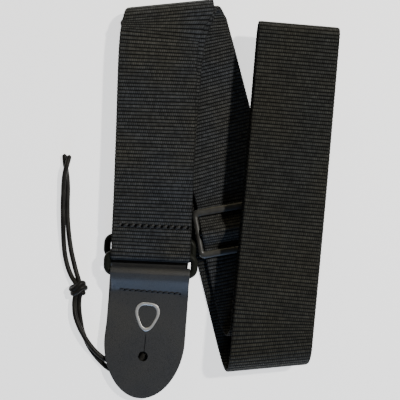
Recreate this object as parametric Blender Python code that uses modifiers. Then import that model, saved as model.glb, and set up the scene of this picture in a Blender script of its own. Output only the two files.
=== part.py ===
"""Guitar strap, folded in thirds and laid flat: webbing, two rings, a slider, two leather ends and a lace.

Metres, +Z up. The strap lies on the plane z = 0, its length along Y and its width along X.
The webbing is one long band. It is cut here into strands and folds, each a ruled sheet between a
west edge and an east edge, thickened to the weave's thickness.
"""

from math import atan2, cos, pi, radians, sin, sqrt, tan

import bmesh
import bpy
from mathutils import Matrix, Vector

MM = 0.001
COLLECTION_NAME = "guitar_strap"

# Everything is laid out from one plan point, moved so that the strap's box is centred on the origin.
PLAN_SHIFT = Vector((-12.154 * MM, -0.256 * MM, 0.0))

# Webbing
WEB_WIDTH = 50.8 * MM
WEB_THICK = 1.4 * MM
GAP = 0.3 * MM
ROW_STEP = 9.0 * MM
TURN_ROWS = 3

# Heights of the webbing's layers, at mid-thickness
Z_LOWER = 0.7 * MM
Z_RETURN = 2.4 * MM
Z_RUN = 4.1 * MM
Z_BACK_RUN = 12.6 * MM
Z_BACK_RETURN = 14.4 * MM
Z_FRONT = 16.2 * MM
Z_INNER = 16.5 * MM
Z_OUTER = 27.0 * MM
BACK_DROP_POWER = 4.0

# Centre lines of the strands in plan (mm), from the ring end to the slider
FRONT_LINE = [(-31.5, -35.4), (-30.6, -16.0), (-28.5, 40.0), (-26.6, 95.0), (-24.2, 109.0), (-19.9, 118.9)]
LOWER_LINE = [(-16.6, 118.9), (12.1, 6.4), (37.0, -93.8)]
OUTER_LINE = [(44.4, -93.8), (53.1, 0.0), (62.1, 104.9)]
INNER_LINE = [(61.3, 104.9), (52.3, 0.0), (45.0, -78.8)]
RUN_LINE = [
    (38.5, -78.8), (34.9, -61.9), (29.3, -36.5), (25.96, -17.69), (22.3, 2.9), (13.0, 36.0), (-1.2, 90.4),
    (-8.4, 117.0),
]
BACK_LINE = [(-17.9, 117.0), (-22.0, 103.0), (-25.5, 71.8), (-29.2, 20.0), (-32.1, -24.7)]

# Directions of the fold lines, in degrees above the X axis
TOP_FOLD = 5.6
INNER_TOP_FOLD = 4.8
BOTTOM_FOLD = 5.3
INNER_BOTTOM_FOLD = 5.0
MIDDLE_FOLD = -4.9
FOLD_STEPS = 12

# Rings: a wire bent to a slot with round ends. Each is placed by the centre of its upper bar.
WIRE_D = 4.0 * MM
RING_INSIDE = 52.0 * MM
RING_PITCH = 12.2 * MM
RING_CORNER = 4.2 * MM
LOOP_RADIUS = 3.25 * MM
LOOP_WIDTH = 50.2 * MM
# How far the webbing wraps each ring's bar, in degrees
FRONT_LOOP_WRAP = (-110, 90)
BACK_LOOP_WRAP = (-90, 90)
FRONT_RING_BAR = Vector((-31.5, -35.4, 12.95)) * MM
FRONT_RING_LEAN = 2.6
FRONT_RING_DROP = 8.0
BACK_RING_BAR = Vector((-32.2, -25.4, 4.5)) * MM
BACK_RING_LEAN = 3.5
# The front end's sewn layer, as distances and heights (mm) from the ring's bar
FRONT_TUCK_WEB = [(-21.4, 14.5), (-17.0, 14.4), (-11.0, 13.2), (-5.5, 11.0)]

# Slider: a frame with three bars
SLIDER_CENTRE = Vector((25.96, -17.69, 6.6)) * MM
SLIDER_LEAN = 10.0
SLIDER_LENGTH = 58.6 * MM
SLIDER_HEIGHT = 32.4 * MM
SLIDER_INSIDE = 51.6 * MM
SLIDER_BAR = 4.8 * MM
SLIDER_THICK = 3.0 * MM
SLIDER_MID_BAR = 2.4 * MM
SLIDER_CORNER = 4.0 * MM
SLIDER_INSIDE_CORNER = 0.8 * MM
SLIDER_EDGE = 0.6 * MM
HUMP_RISE = 6.4 * MM
HUMP_HALF = 11.0 * MM
HUMP_REACH = 15.8 * MM
# The end that wraps the middle bar, as distances and heights (mm) from the slider's centre
TAIL_START = -23.0
TAIL_WRAP = (-90, 150)
TAIL_APPROACH = [(-11.0, 2.4), (-8.0, 2.6), (-5.0, 3.3), (-2.5, 4.05)]

# Leather ends
LEATHER_TOP_WIDTH = 49.8 * MM
LEATHER_WIDTH = 52.4 * MM
LEATHER_THICK = 2.0 * MM
FRONT_LEATHER_LEAN = 6.0
BACK_LEATHER_LEAN = 3.0
LEATHER_LENGTH = 81.6 * MM
LEATHER_SIDE = 44.0 * MM
TIP_POWER = 1.9
TIP_FLAT = 0.0015
BUTTON_HOLE_AT = 54.2 * MM
BUTTON_HOLE_D = 6.4 * MM
SLIT_LENGTH = 13.5 * MM
SLIT_WIDTH = 0.8 * MM
SLIT_OVERLAP = 0.8 * MM
CUT_DEPTH = 30.0 * MM
TURN_START = 4.0 * MM
TURN_SPAN = 14.0 * MM
LEATHER_LOOP = 3.4 * MM
LEATHER_WRAP = (-95, -270)
# Heights (mm) of the face layer and the tucked layer at distances (mm) from the ring's lower bar
FRONT_FACE = [(4.0, 13.3), (9.0, 9.9), (13.0, 8.2), (18.0, 7.7), (30.0, 7.2), (55.0, 7.0), (82.0, 6.6)]
FRONT_TUCK = [(16.0, 5.5), (12.0, 5.8), (4.0, 7.5)]
BACK_FACE = [(4.0, 7.2), (9.0, 4.7), (13.0, 3.7), (18.0, 3.2), (28.0, 1.4), (55.0, 1.1), (82.0, 1.1)]
BACK_TUCK = [(16.0, 1.3), (12.0, 1.3), (4.0, 1.2)]

# Threads
THREAD_D = 0.8 * MM
THREAD_SEAT = 0.1 * MM
WEB_STITCHES = 11
WEB_SEAM_SPAN = 46.0 * MM
WEB_SEAM_AT = 18.6 * MM
LEATHER_STITCHES = 11
LEATHER_SEAM_SPAN = 39.6 * MM
LEATHER_SEAM_AT = 11.6 * MM
STITCH_WAVE = 0.15 * MM
STITCH_STEPS = 4

# Emblem: a foil in the outline of a plectrum
EMBLEM_AT = 27.4 * MM
EMBLEM_WIDTH = 15.4 * MM
EMBLEM_HEIGHT = 18.6 * MM
EMBLEM_STROKE = 1.9 * MM
EMBLEM_BULGE = 0.10
EMBLEM_THICK = 0.3 * MM
EMBLEM_SEAT = 0.15 * MM

# Lace: one round cord doubled through the back leather's hole; routes in mm, x, y, z
LACE_D = 3.2 * MM
LACE_POINT_STEP = 6.5 * MM
LACE_UPPER_LEFT = [
    (-83.9, -50.8, 2.6), (-86.0, -46.4, 1.9), (-87.5, -41.8, 1.65), (-88.8, -35.6, 1.65),
    (-89.5, -28.0, 1.8), (-89.7, -20.0, 2.6), (-89.7, -11.0, 3.6), (-89.7, -2.0, 3.7), (-89.4, 4.2, 3.8),
    (-89.2, 9.3, 4.1), (-88.7, 14.3, 4.7), (-87.8, 19.3, 5.1), (-86.5, 24.3, 4.7), (-85.4, 29.5, 3.0),
]
LACE_UPPER_RIGHT = [
    (-80.0, -50.9, 2.7), (-81.6, -46.0, 1.9), (-83.0, -40.6, 1.65), (-84.4, -34.4, 1.65),
    (-85.6, -27.0, 1.65), (-86.5, -19.0, 1.65), (-87.0, -11.0, 1.65), (-87.1, -2.0, 1.65),
    (-86.9, 4.2, 1.65), (-86.9, 9.3, 1.65), (-87.2, 14.3, 1.65), (-87.8, 19.3, 1.65), (-88.6, 24.3, 1.65),
    (-89.1, 30.4, 1.65),
]
LACE_LOWER_LEFT = [
    (-82.0, -64.9, 3.6), (-82.2, -69.5, 3.8), (-81.5, -75.2, 4.6), (-79.8, -80.4, 5.1), (-77.2, -86.0, 5.2),
    (-73.3, -92.6, 5.0), (-69.0, -98.2, 4.5), (-64.2, -102.6, 4.15), (-59.4, -105.1, 4.05),
    (-54.6, -105.4, 4.05), (-49.8, -104.2, 4.05), (-45.4, -101.5, 4.05), (-41.6, -98.2, 4.05),
    (-38.8, -95.4, 4.05),
]
LACE_LOWER_RIGHT = [
    (-79.3, -64.9, 1.75), (-79.5, -69.5, 1.65), (-79.1, -75.2, 1.65), (-78.3, -80.4, 1.65),
    (-77.3, -85.6, 1.65), (-75.4, -90.9, 1.65), (-72.6, -96.7, 1.65), (-69.1, -101.7, 1.65),
    (-64.7, -106.6, 1.75), (-59.8, -110.4, 2.7), (-54.6, -112.4, 3.9), (-49.4, -112.1, 4.05),
    (-44.6, -109.8, 4.05), (-40.4, -106.0, 4.05), (-37.4, -101.8, 4.05), (-36.0, -97.8, 4.05),
]
KNOT_CENTRE = Vector((-79.4, -57.7, 4.9)) * MM
KNOT_HALF = Vector((5.9, 6.4, 4.6)) * MM

COLOURS = {
    "webbing": ((0.022, 0.022, 0.024), 0.85, 0.0),
    "leather": ((0.028, 0.027, 0.027), 0.55, 0.0),
    "metal": ((0.012, 0.012, 0.013), 0.28, 0.6),
    "plastic": ((0.012, 0.012, 0.013), 0.25, 0.0),
    "thread": ((0.016, 0.016, 0.017), 0.7, 0.0),
    "foil": ((0.75, 0.74, 0.71), 0.3, 0.9),
    "lace": ((0.012, 0.012, 0.013), 0.45, 0.0),
}


# ---------------------------------------------------------------- scene and materials

def clear_scene():
    for thing in list(bpy.data.objects):
        bpy.data.objects.remove(thing, do_unlink=True)


def new_collection(name):
    collection = bpy.data.collections.new(name)
    bpy.context.scene.collection.children.link(collection)
    return collection


def finish_object(obj, finish, collection):
    """Give an object its own material and put it in the collection."""
    colour, roughness, metallic = COLOURS[finish]
    material = bpy.data.materials.new(obj.name)
    material.use_nodes = True
    shader = material.node_tree.nodes["Principled BSDF"]
    shader.inputs["Base Color"].default_value = (*colour, 1.0)
    shader.inputs["Roughness"].default_value = roughness
    shader.inputs["Metallic"].default_value = metallic
    obj.data.materials.clear()
    obj.data.materials.append(material)
    for other in list(obj.users_collection):
        other.objects.unlink(obj)
    collection.objects.link(obj)
    return obj


# ---------------------------------------------------------------- curves in plan

def spline_point(points, t):
    """A Catmull-Rom curve through the points; t runs from 0 to 1 over all its spans."""
    spans = len(points) - 1
    i = min(int(t * spans), spans - 1)
    f = t * spans - i
    p1, p2 = points[i], points[i + 1]
    p0 = points[i - 1] if i else p1 * 2 - p2
    p3 = points[i + 2] if i + 2 <= spans else p2 * 2 - p1
    return 0.5 * ((2 * p1) + (p2 - p0) * f + (2 * p0 - 5 * p1 + 4 * p2 - p3) * f * f
                  + (3 * p1 - p0 - 3 * p2 + p3) * f ** 3)


def dense_curve(points, per_span=24):
    count = per_span * (len(points) - 1)
    return [spline_point(points, k / count) for k in range(count + 1)]


def even_curve(points, step):
    """Points about a step apart along the curve, both ends kept."""
    dense = dense_curve(points)
    lengths = [0.0]
    for a, b in zip(dense, dense[1:]):
        lengths.append(lengths[-1] + (b - a).length)
    count = max(1, round(lengths[-1] / step))
    result = []
    j = 0
    for k in range(count + 1):
        want = lengths[-1] * k / count
        while j < len(dense) - 2 and lengths[j + 1] < want:
            j += 1
        share = (want - lengths[j]) / (lengths[j + 1] - lengths[j])
        result.append(dense[j].lerp(dense[j + 1], min(max(share, 0.0), 1.0)))
    return result


def plan_point(x_mm, y_mm, z=0.0):
    return Vector((x_mm * MM, y_mm * MM, z)) + PLAN_SHIFT


def smooth(t):
    t = min(max(t, 0.0), 1.0)
    return t * t * (3 - 2 * t)


# ---------------------------------------------------------------- bands of webbing and leather

def strand_rows(line, height, first_fold=None, last_fold=None):
    """Rows (west, east) of a strand along its centre line.

    height(t) gives z at the share t of the line. A row near a fold turns from square to the line
    to parallel with the fold line, whose direction is given in degrees.
    """
    centre = even_curve([plan_point(x, y) for x, y in line], ROW_STEP)
    rows = []
    last = len(centre) - 1
    for k, point in enumerate(centre):
        before, after = centre[max(k - 1, 0)], centre[min(k + 1, last)]
        along = (after - before).normalized()
        up = 1 if along.y > 0 else -1
        square = atan2(-along.x * up, along.y * up)
        skew = 0.0
        if first_fold is not None:
            skew += (radians(first_fold) - square) * (1 - smooth(k / TURN_ROWS))
        if last_fold is not None:
            skew += (radians(last_fold) - square) * (1 - smooth((last - k) / TURN_ROWS))
        direction = Vector((cos(square + skew), sin(square + skew), 0.0))
        half = WEB_WIDTH / 2 / cos(skew)
        z = Vector((0.0, 0.0, height(k / last)))
        rows.append((point - direction * half + z, point + direction * half + z))
    return rows


def fold_rows(start, end, fold_angle, outward):
    """Rows of a half cylinder from one strand's last row to the next one's first.

    outward is +1 for a fold that bulges to +Y and -1 for one that bulges to -Y.
    """
    angle = radians(fold_angle)
    normal = Vector((-sin(angle), cos(angle), 0.0)) * outward
    radius = abs(start[0].z - end[0].z) / 2
    rows = []
    for k in range(FOLD_STEPS + 1):
        turn = pi * k / FOLD_STEPS
        row = []
        for a, b in zip(start, end):
            flat = a.lerp(b, k / FOLD_STEPS)
            middle = (a.z + b.z) / 2
            flat.z = middle + (a.z - middle) * cos(turn)
            row.append(flat + normal * radius * sin(turn))
        rows.append(tuple(row))
    return rows


def trim_rows(rows, at_start, at_end):
    """Shorten a band by half the gap at the ends that meet another piece."""
    rows = list(rows)
    for trimmed, ends in ((at_start, (0, 1)), (at_end, (-1, -2))):
        if trimmed:
            edge, inner = rows[ends[0]], rows[ends[1]]
            rows[ends[0]] = tuple(a + (b - a).normalized() * GAP / 2 for a, b in zip(edge, inner))
    return rows


def band(name, rows, thickness, finish, collection, columns=1):
    """A sheet lofted through the rows, thickened evenly to both sides."""
    mesh = bpy.data.meshes.new(name)
    sheet = bmesh.new()
    grid = []
    for west, east in rows:
        grid.append([sheet.verts.new(west.lerp(east, j / columns)) for j in range(columns + 1)])
    for upper, lower in zip(grid, grid[1:]):
        for j in range(columns):
            sheet.faces.new((upper[j], upper[j + 1], lower[j + 1], lower[j]))
    bmesh.ops.recalc_face_normals(sheet, faces=sheet.faces)
    sheet.to_mesh(mesh)
    sheet.free()
    obj = bpy.data.objects.new(name, mesh)
    shell = obj.modifiers.new("thickness", "SOLIDIFY")
    shell.thickness = thickness
    shell.offset = 0.0
    shell.use_even_offset = True
    return finish_object(obj, finish, collection)


def bar_frame(bar, lean, turned, distance):
    """Centre, across and down at a distance from a ring's bar.

    The piece is square to the bar's lean where it wraps the bar, then turns to its own lean.
    """
    across = Vector((cos(radians(lean)), -sin(radians(lean)), 0.0))
    down = Vector((-sin(radians(lean)), -cos(radians(lean)), 0.0))
    turn = radians(turned - lean)
    steps = 12
    drift = 0.0
    for k in range(steps):
        place = distance * (k + 0.5) / steps
        drift += tan(turn * smooth((place - TURN_START) / TURN_SPAN)) * distance / steps
    centre = bar + PLAN_SHIFT + down * distance - across * drift
    local = radians(lean) + turn * smooth((distance - TURN_START) / TURN_SPAN)
    return centre, Vector((cos(local), -sin(local), 0.0)), Vector((-sin(local), -cos(local), 0.0))


def ring_rows(bar, lean, turned, width, side_profile):
    """Rows (west, east) of a piece that wraps a ring's bar, from (distance, height) pairs in metres."""
    rows = []
    for distance, z in side_profile:
        centre, across, _ = bar_frame(bar, lean, turned, distance)
        centre.z = z
        half = width(distance) / 2
        rows.append((centre - across * half, centre + across * half))
    return rows


def arc_profile(radius, z, start_deg, end_deg, steps):
    """(distance, height) pairs round a bar; 0 degrees points down the strap, 90 points up from it."""
    pairs = []
    for k in range(steps + 1):
        turn = radians(start_deg + (end_deg - start_deg) * k / steps)
        pairs.append((radius * cos(turn), z + radius * sin(turn)))
    return pairs


def in_metres(pairs):
    return [(a * MM, b * MM) for a, b in pairs]


# ---------------------------------------------------------------- webbing

def make_webbing(collection):
    def flat(z):
        return lambda t: z

    def slope(z_start, z_end):
        return lambda t: z_start + (z_end - z_start) * t ** BACK_DROP_POWER

    def add(name, rows, at_start=True, at_end=True):
        return band("webbing_" + name, trim_rows(rows, at_start, at_end), WEB_THICK, "webbing", collection)

    front = strand_rows(FRONT_LINE, flat(Z_FRONT), last_fold=TOP_FOLD)
    lower = strand_rows(LOWER_LINE, flat(Z_LOWER), TOP_FOLD, BOTTOM_FOLD)
    outer = strand_rows(OUTER_LINE, flat(Z_OUTER), BOTTOM_FOLD, MIDDLE_FOLD)
    inner = strand_rows(INNER_LINE, flat(Z_INNER), MIDDLE_FOLD, INNER_BOTTOM_FOLD)
    back_bar = BACK_RING_BAR.z
    back_run = strand_rows(BACK_LINE, slope(Z_BACK_RUN, back_bar - LOOP_RADIUS), INNER_TOP_FOLD)
    back_return = strand_rows(BACK_LINE, slope(Z_BACK_RETURN, back_bar + LOOP_RADIUS), INNER_TOP_FOLD)
    back_return.reverse()

    add("front_strand", front)
    add("top_fold_outer", fold_rows(front[-1], lower[0], TOP_FOLD, 1))
    add("lower_strand", lower)
    add("bottom_fold_outer", fold_rows(lower[-1], outer[0], BOTTOM_FOLD, -1))
    add("shoulder_outer", outer)
    add("middle_fold", fold_rows(outer[-1], inner[0], MIDDLE_FOLD, 1))
    add("shoulder_inner", inner)

    run = strand_rows(RUN_LINE, flat(Z_RUN), INNER_BOTTOM_FOLD, INNER_TOP_FOLD)
    add("bottom_fold_inner", fold_rows(inner[-1], run[0], INNER_BOTTOM_FOLD, -1))
    below, above = split_at_slider(run, HUMP_REACH)
    add("run_lower", below)
    add("run_strand", above)
    add("slider_hump", hump_rows())
    add("top_fold_run", fold_rows(run[-1], back_run[0], INNER_TOP_FOLD, 1))
    add("back_run", back_run)
    add("back_return", back_return)

    full_return = strand_rows(RUN_LINE, flat(Z_RETURN), INNER_BOTTOM_FOLD, INNER_TOP_FOLD)
    add("top_fold_return", fold_rows(back_return[-1], full_return[-1], INNER_TOP_FOLD, 1))
    add("return_strand", split_at_slider(full_return, -TAIL_START * MM)[1])
    add("slider_tail", tail_rows(), at_end=False)

    web = constant_width(LOOP_WIDTH)
    around = arc_profile(LOOP_RADIUS, back_bar, *BACK_LOOP_WRAP, FOLD_STEPS)
    add("back_loop", ring_rows(BACK_RING_BAR, BACK_RING_LEAN, BACK_RING_LEAN, web, around))
    around = arc_profile(LOOP_RADIUS, FRONT_RING_BAR.z, *FRONT_LOOP_WRAP, FOLD_STEPS)
    profile = in_metres(FRONT_TUCK_WEB) + around
    rows = ring_rows(FRONT_RING_BAR, FRONT_RING_LEAN, FRONT_RING_LEAN, web, profile)
    add("front_loop", rows, at_start=False)


def constant_width(width):
    return lambda distance: width


def slider_frame_axes():
    """The slider's centre, its across direction and the direction down the strand."""
    lean = radians(SLIDER_LEAN)
    across = Vector((cos(lean), sin(lean), 0.0))
    down = Vector((sin(lean), -cos(lean), 0.0))
    return SLIDER_CENTRE + PLAN_SHIFT, across, down


def slider_row(distance, z):
    centre, across, down = slider_frame_axes()
    point = centre + down * distance
    point.z = z
    return (point - across * WEB_WIDTH / 2, point + across * WEB_WIDTH / 2)


def split_at_slider(rows, reach):
    """The rows below and above the slider, each ending square to it at the given reach."""
    centre, _, down = slider_frame_axes()
    z = rows[0][0].z
    clear = 0.4 * ROW_STEP

    def place(row):
        return ((row[0] + row[1]) / 2 - centre).dot(down)

    below = [row for row in rows if place(row) > reach + clear] + [slider_row(reach, z)]
    above = [slider_row(-reach, z)] + [row for row in rows if place(row) < -reach - clear]
    return below, above


def hump_rows():
    """The run's stretch that goes over the middle bar, from below the slider to above it."""
    rows = []
    steps = 16
    for k in range(steps + 1):
        distance = HUMP_REACH * (1 - 2 * k / steps)
        rise = HUMP_RISE * 0.5 * (1 + cos(pi * distance / HUMP_HALF)) if abs(distance) < HUMP_HALF else 0.0
        rows.append(slider_row(distance, Z_RUN + rise))
    return rows


def tail_rows():
    """The return's end, which comes under the top bar and wraps round the middle bar."""
    radius = SLIDER_MID_BAR / 2 + GAP + WEB_THICK / 2
    approach = [(TAIL_START * MM, Z_RETURN)] + in_metres(TAIL_APPROACH)
    around = arc_profile(radius, SLIDER_CENTRE.z, *TAIL_WRAP, FOLD_STEPS)
    return [slider_row(distance, z) for distance, z in approach + around]


# ---------------------------------------------------------------- rings and slider

def tube(name, points, diameter, finish, collection, cyclic=False, resolution=3):
    curve = bpy.data.curves.new(name, "CURVE")
    curve.dimensions = "3D"
    curve.bevel_depth = diameter / 2
    curve.bevel_resolution = resolution
    curve.use_fill_caps = not cyclic
    spline = curve.splines.new("POLY")
    spline.points.add(len(points) - 1)
    for place, point in zip(spline.points, points):
        place.co = (*point, 1.0)
    spline.use_cyclic_u = cyclic
    spline.use_smooth = True
    return finish_object(bpy.data.objects.new(name, curve), finish, collection)


def make_ring(name, bar, lean, drop, collection):
    """A rectangle of wire with round corners; its upper bar lies on the object's own X axis."""
    outline = rounded_rectangle(RING_INSIDE + WIRE_D, RING_PITCH, RING_CORNER)
    path = [Vector((x, y - RING_PITCH / 2, 0.0)) for x, y in outline]
    ring = tube(name, path, WIRE_D, "metal", collection, cyclic=True)
    ring.location = bar + PLAN_SHIFT
    ring.rotation_euler = (radians(drop), 0.0, -radians(lean))
    return ring


def rounded_rectangle(width, height, corner, steps=7):
    points = []
    for sx, sy, start in ((1, 1, 0), (-1, 1, 90), (-1, -1, 180), (1, -1, 270)):
        for k in range(steps + 1):
            turn = radians(start + 90 * k / steps)
            x = sx * (width / 2 - corner) + corner * cos(turn)
            y = sy * (height / 2 - corner) + corner * sin(turn)
            points.append((x, y))
    return points


def outline_solid(name, outlines, thickness):
    """A flat solid from an outer outline and its openings, as a mesh."""
    curve = bpy.data.curves.new(name, "CURVE")
    curve.dimensions = "2D"
    curve.fill_mode = "BOTH"
    curve.extrude = thickness / 2
    for outline in outlines:
        spline = curve.splines.new("POLY")
        spline.points.add(len(outline) - 1)
        for place, (x, y) in zip(spline.points, outline):
            place.co = (x, y, 0.0, 1.0)
        spline.use_cyclic_u = True
    return as_mesh(name, curve)


def as_mesh(name, curve):
    """The evaluated curve as a welded mesh object."""
    shape = bpy.data.objects.new(name + "_curve", curve)
    bpy.context.scene.collection.objects.link(shape)
    graph = bpy.context.evaluated_depsgraph_get()
    mesh = bpy.data.meshes.new_from_object(shape.evaluated_get(graph))
    mesh.name = name
    welded = bmesh.new()
    welded.from_mesh(mesh)
    bmesh.ops.remove_doubles(welded, verts=welded.verts, dist=0.00001)
    bmesh.ops.recalc_face_normals(welded, faces=welded.faces)
    welded.to_mesh(mesh)
    welded.free()
    bpy.data.objects.remove(shape, do_unlink=True)
    return bpy.data.objects.new(name, mesh)


def make_slider(collection, cutters):
    """A rectangular frame with a thinner round bar across its middle."""
    opening = SLIDER_HEIGHT - 2 * SLIDER_BAR
    outer = rounded_rectangle(SLIDER_LENGTH, SLIDER_HEIGHT, SLIDER_CORNER)
    inner = rounded_rectangle(SLIDER_INSIDE, opening, SLIDER_INSIDE_CORNER, steps=2)
    frame = outline_solid("slider_frame", [outer, inner], SLIDER_THICK)
    frame.location = SLIDER_CENTRE + PLAN_SHIFT
    frame.rotation_euler = (0.0, 0.0, radians(SLIDER_LEAN))
    edge = frame.modifiers.new("edge", "BEVEL")
    edge.width = SLIDER_EDGE
    edge.segments = 1
    edge.limit_method = "ANGLE"
    bar_length = (SLIDER_INSIDE + SLIDER_LENGTH) / 2
    bpy.ops.mesh.primitive_cylinder_add(vertices=16, radius=SLIDER_MID_BAR / 2, depth=bar_length)
    bar = bpy.context.object
    bar.name = "slider_middle_bar"
    bar.data.transform(Matrix.Rotation(pi / 2, 4, "Y"))
    bar.location = frame.location
    bar.rotation_euler = frame.rotation_euler
    as_cutter(bar, cutters)
    join = frame.modifiers.new("middle_bar", "BOOLEAN")
    join.operation = "UNION"
    join.object = bar
    return finish_object(frame, "plastic", collection)


def as_cutter(obj, cutters):
    for other in list(obj.users_collection):
        other.objects.unlink(obj)
    cutters.objects.link(obj)
    obj.hide_render = True
    obj.display_type = "WIRE"


# ---------------------------------------------------------------- leather

def leather_width(distance):
    """Sides that widen a little from the ring, then a long round tip."""
    if distance <= LEATHER_SIDE:
        widened = min(max(distance / LEATHER_SIDE, 0.0), 1.0)
        return LEATHER_TOP_WIDTH + (LEATHER_WIDTH - LEATHER_TOP_WIDTH) * widened
    share = min((distance - LEATHER_SIDE) / (LEATHER_LENGTH - LEATHER_SIDE), 1.0)
    return LEATHER_WIDTH * sqrt(max(1 - share ** TIP_POWER, TIP_FLAT))


def face_profile(heights, bar_z):
    """The face layer's side profile from the bar's top to the tip, as (distance, height) pairs."""
    knots = [Vector((0.0, bar_z + LEATHER_LOOP))] + [Vector(pair) for pair in in_metres(heights)]
    knots[-1].x = LEATHER_LENGTH
    profile = []
    for point in dense_curve(knots, per_span=6)[1:]:
        profile.append((point.x, point.y))
    straight = [pair for pair in profile if pair[0] < LEATHER_SIDE]
    tip = []
    steps = 16
    for k in range(steps + 1):
        distance = LEATHER_SIDE + (LEATHER_LENGTH - LEATHER_SIDE) * sin(pi / 2 * k / steps)
        tip.append((distance, height_on(profile, distance)))
    return straight[::2] + tip


def height_on(profile, distance):
    for (d0, z0), (d1, z1) in zip(profile, profile[1:]):
        if d0 <= distance < d1:
            return z0 + (z1 - z0) * (distance - d0) / (d1 - d0)
    return profile[-1][1]


def leather_side_profile(face, tuck, bar_z):
    around = arc_profile(LEATHER_LOOP, bar_z, *LEATHER_WRAP, FOLD_STEPS)
    return in_metres(tuck) + around + face_profile(face, bar_z)


def lower_bar(bar, lean, drop):
    """Centre of a ring's lower bar."""
    reach = RING_PITCH * cos(radians(drop))
    fall = RING_PITCH * sin(radians(drop))
    return bar + Vector((-sin(radians(lean)) * reach, -cos(radians(lean)) * reach, -fall))


def make_leather(name, bar, lean, turned, face, tuck, collection, cutters):
    """One end: it wraps the ring's lower bar at its lean, then turns to its own."""
    profile = leather_side_profile(face, tuck, bar.z)
    rows = ring_rows(bar, lean, turned, leather_width, profile)
    leather = band(name, rows, LEATHER_THICK, "leather", collection, columns=4)
    hole, _, down = bar_frame(bar, lean, turned, BUTTON_HOLE_AT)
    bpy.ops.mesh.primitive_cylinder_add(vertices=24, radius=BUTTON_HOLE_D / 2, depth=CUT_DEPTH)
    punch = bpy.context.object
    punch.name = name + "_hole_cutter"
    punch.location = (hole.x, hole.y, bar.z)
    bpy.ops.mesh.primitive_cube_add(size=1.0)
    blade = bpy.context.object
    blade.name = name + "_slit_cutter"
    middle = hole - down * (BUTTON_HOLE_D / 2 + SLIT_LENGTH / 2 - SLIT_OVERLAP)
    blade.scale = (SLIT_WIDTH, SLIT_LENGTH, CUT_DEPTH)
    blade.rotation_euler = (0.0, 0.0, -radians(turned))
    blade.location = (middle.x, middle.y, bar.z)
    for cutter in (punch, blade):
        as_cutter(cutter, cutters)
        cut = leather.modifiers.new(cutter.name, "BOOLEAN")
        cut.operation = "DIFFERENCE"
        cut.object = cutter
    return leather


def seam_points(centre, across, span, stitches):
    """A sewn thread: it stands proud over each stitch and dips between two of them."""
    points = []
    steps = stitches * STITCH_STEPS
    for k in range(steps + 1):
        rise = -STITCH_WAVE * cos(2 * pi * k / STITCH_STEPS)
        points.append(centre + across * span * (k / steps - 0.5) + Vector((0.0, 0.0, rise)))
    return points


def make_leather_seam(name, bar, lean, turned, face, collection):
    centre, across, _ = bar_frame(bar, lean, turned, LEATHER_SEAM_AT)
    surface = height_on(face_profile(face, bar.z), LEATHER_SEAM_AT) + LEATHER_THICK / 2
    centre.z = surface + THREAD_SEAT + THREAD_D / 2 + STITCH_WAVE
    points = seam_points(centre, across, LEATHER_SEAM_SPAN, LEATHER_STITCHES)
    tube(name, points, THREAD_D, "thread", collection, resolution=1)


def make_webbing_seam(collection):
    lean = radians(FRONT_RING_LEAN)
    across = Vector((cos(lean), -sin(lean), 0.0))
    up = Vector((sin(lean), cos(lean), 0.0))
    centre = FRONT_RING_BAR + PLAN_SHIFT + up * WEB_SEAM_AT
    centre.z = Z_FRONT + WEB_THICK / 2 + THREAD_D / 2 + STITCH_WAVE
    points = seam_points(centre, across, WEB_SEAM_SPAN, WEB_STITCHES)
    tube("webbing_seam_thread", points, THREAD_D, "thread", collection, resolution=1)


def plectrum(width, height):
    """A rounded triangle, point down."""
    outline = []
    steps = 30
    for k in range(steps):
        turn = 2 * pi * k / steps
        bulge = 1 + EMBLEM_BULGE * cos(3 * (turn + pi / 2))
        outline.append((width / 2 * bulge * cos(turn), height / 2 * bulge * sin(turn)))
    return outline


def make_emblem(collection, bar):
    """A flat foil line round the outline of a plectrum, laid on the front leather's slope."""
    outer = plectrum(EMBLEM_WIDTH, EMBLEM_HEIGHT)
    inner = plectrum(EMBLEM_WIDTH - 2 * EMBLEM_STROKE, EMBLEM_HEIGHT - 2 * EMBLEM_STROKE)
    emblem = outline_solid("emblem_foil", [outer, inner], EMBLEM_THICK)
    centre, _, _ = bar_frame(bar, FRONT_RING_LEAN, FRONT_LEATHER_LEAN, EMBLEM_AT)
    profile = face_profile(FRONT_FACE, bar.z)
    reach = EMBLEM_HEIGHT / 2
    above, below = height_on(profile, EMBLEM_AT - reach), height_on(profile, EMBLEM_AT + reach)
    centre.z = (above + below) / 2 + LEATHER_THICK / 2 + EMBLEM_THICK / 2 + EMBLEM_SEAT
    emblem.location = centre
    emblem.rotation_euler = (atan2(above - below, 2 * reach), 0.0, -radians(FRONT_LEATHER_LEAN))
    return finish_object(emblem, "foil", collection)


# ---------------------------------------------------------------- lace

def make_lace(collection):
    for name, route in (
        ("lace_upper_left", LACE_UPPER_LEFT),
        ("lace_upper_right", LACE_UPPER_RIGHT),
        ("lace_lower_left", LACE_LOWER_LEFT),
        ("lace_lower_right", LACE_LOWER_RIGHT),
    ):
        knots = [plan_point(x, y, z * MM) for x, y, z in route]
        tube(name, even_curve(knots, LACE_POINT_STEP), LACE_D, "lace", collection, resolution=2)
    bpy.ops.mesh.primitive_uv_sphere_add(segments=16, ring_count=10, radius=1.0)
    knot = bpy.context.object
    knot.name = "lace_knot"
    knot.data.transform(Matrix.Diagonal((*KNOT_HALF, 1.0)))
    knot.location = KNOT_CENTRE + PLAN_SHIFT
    knot.data.shade_smooth()
    finish_object(knot, "lace", collection)


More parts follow.
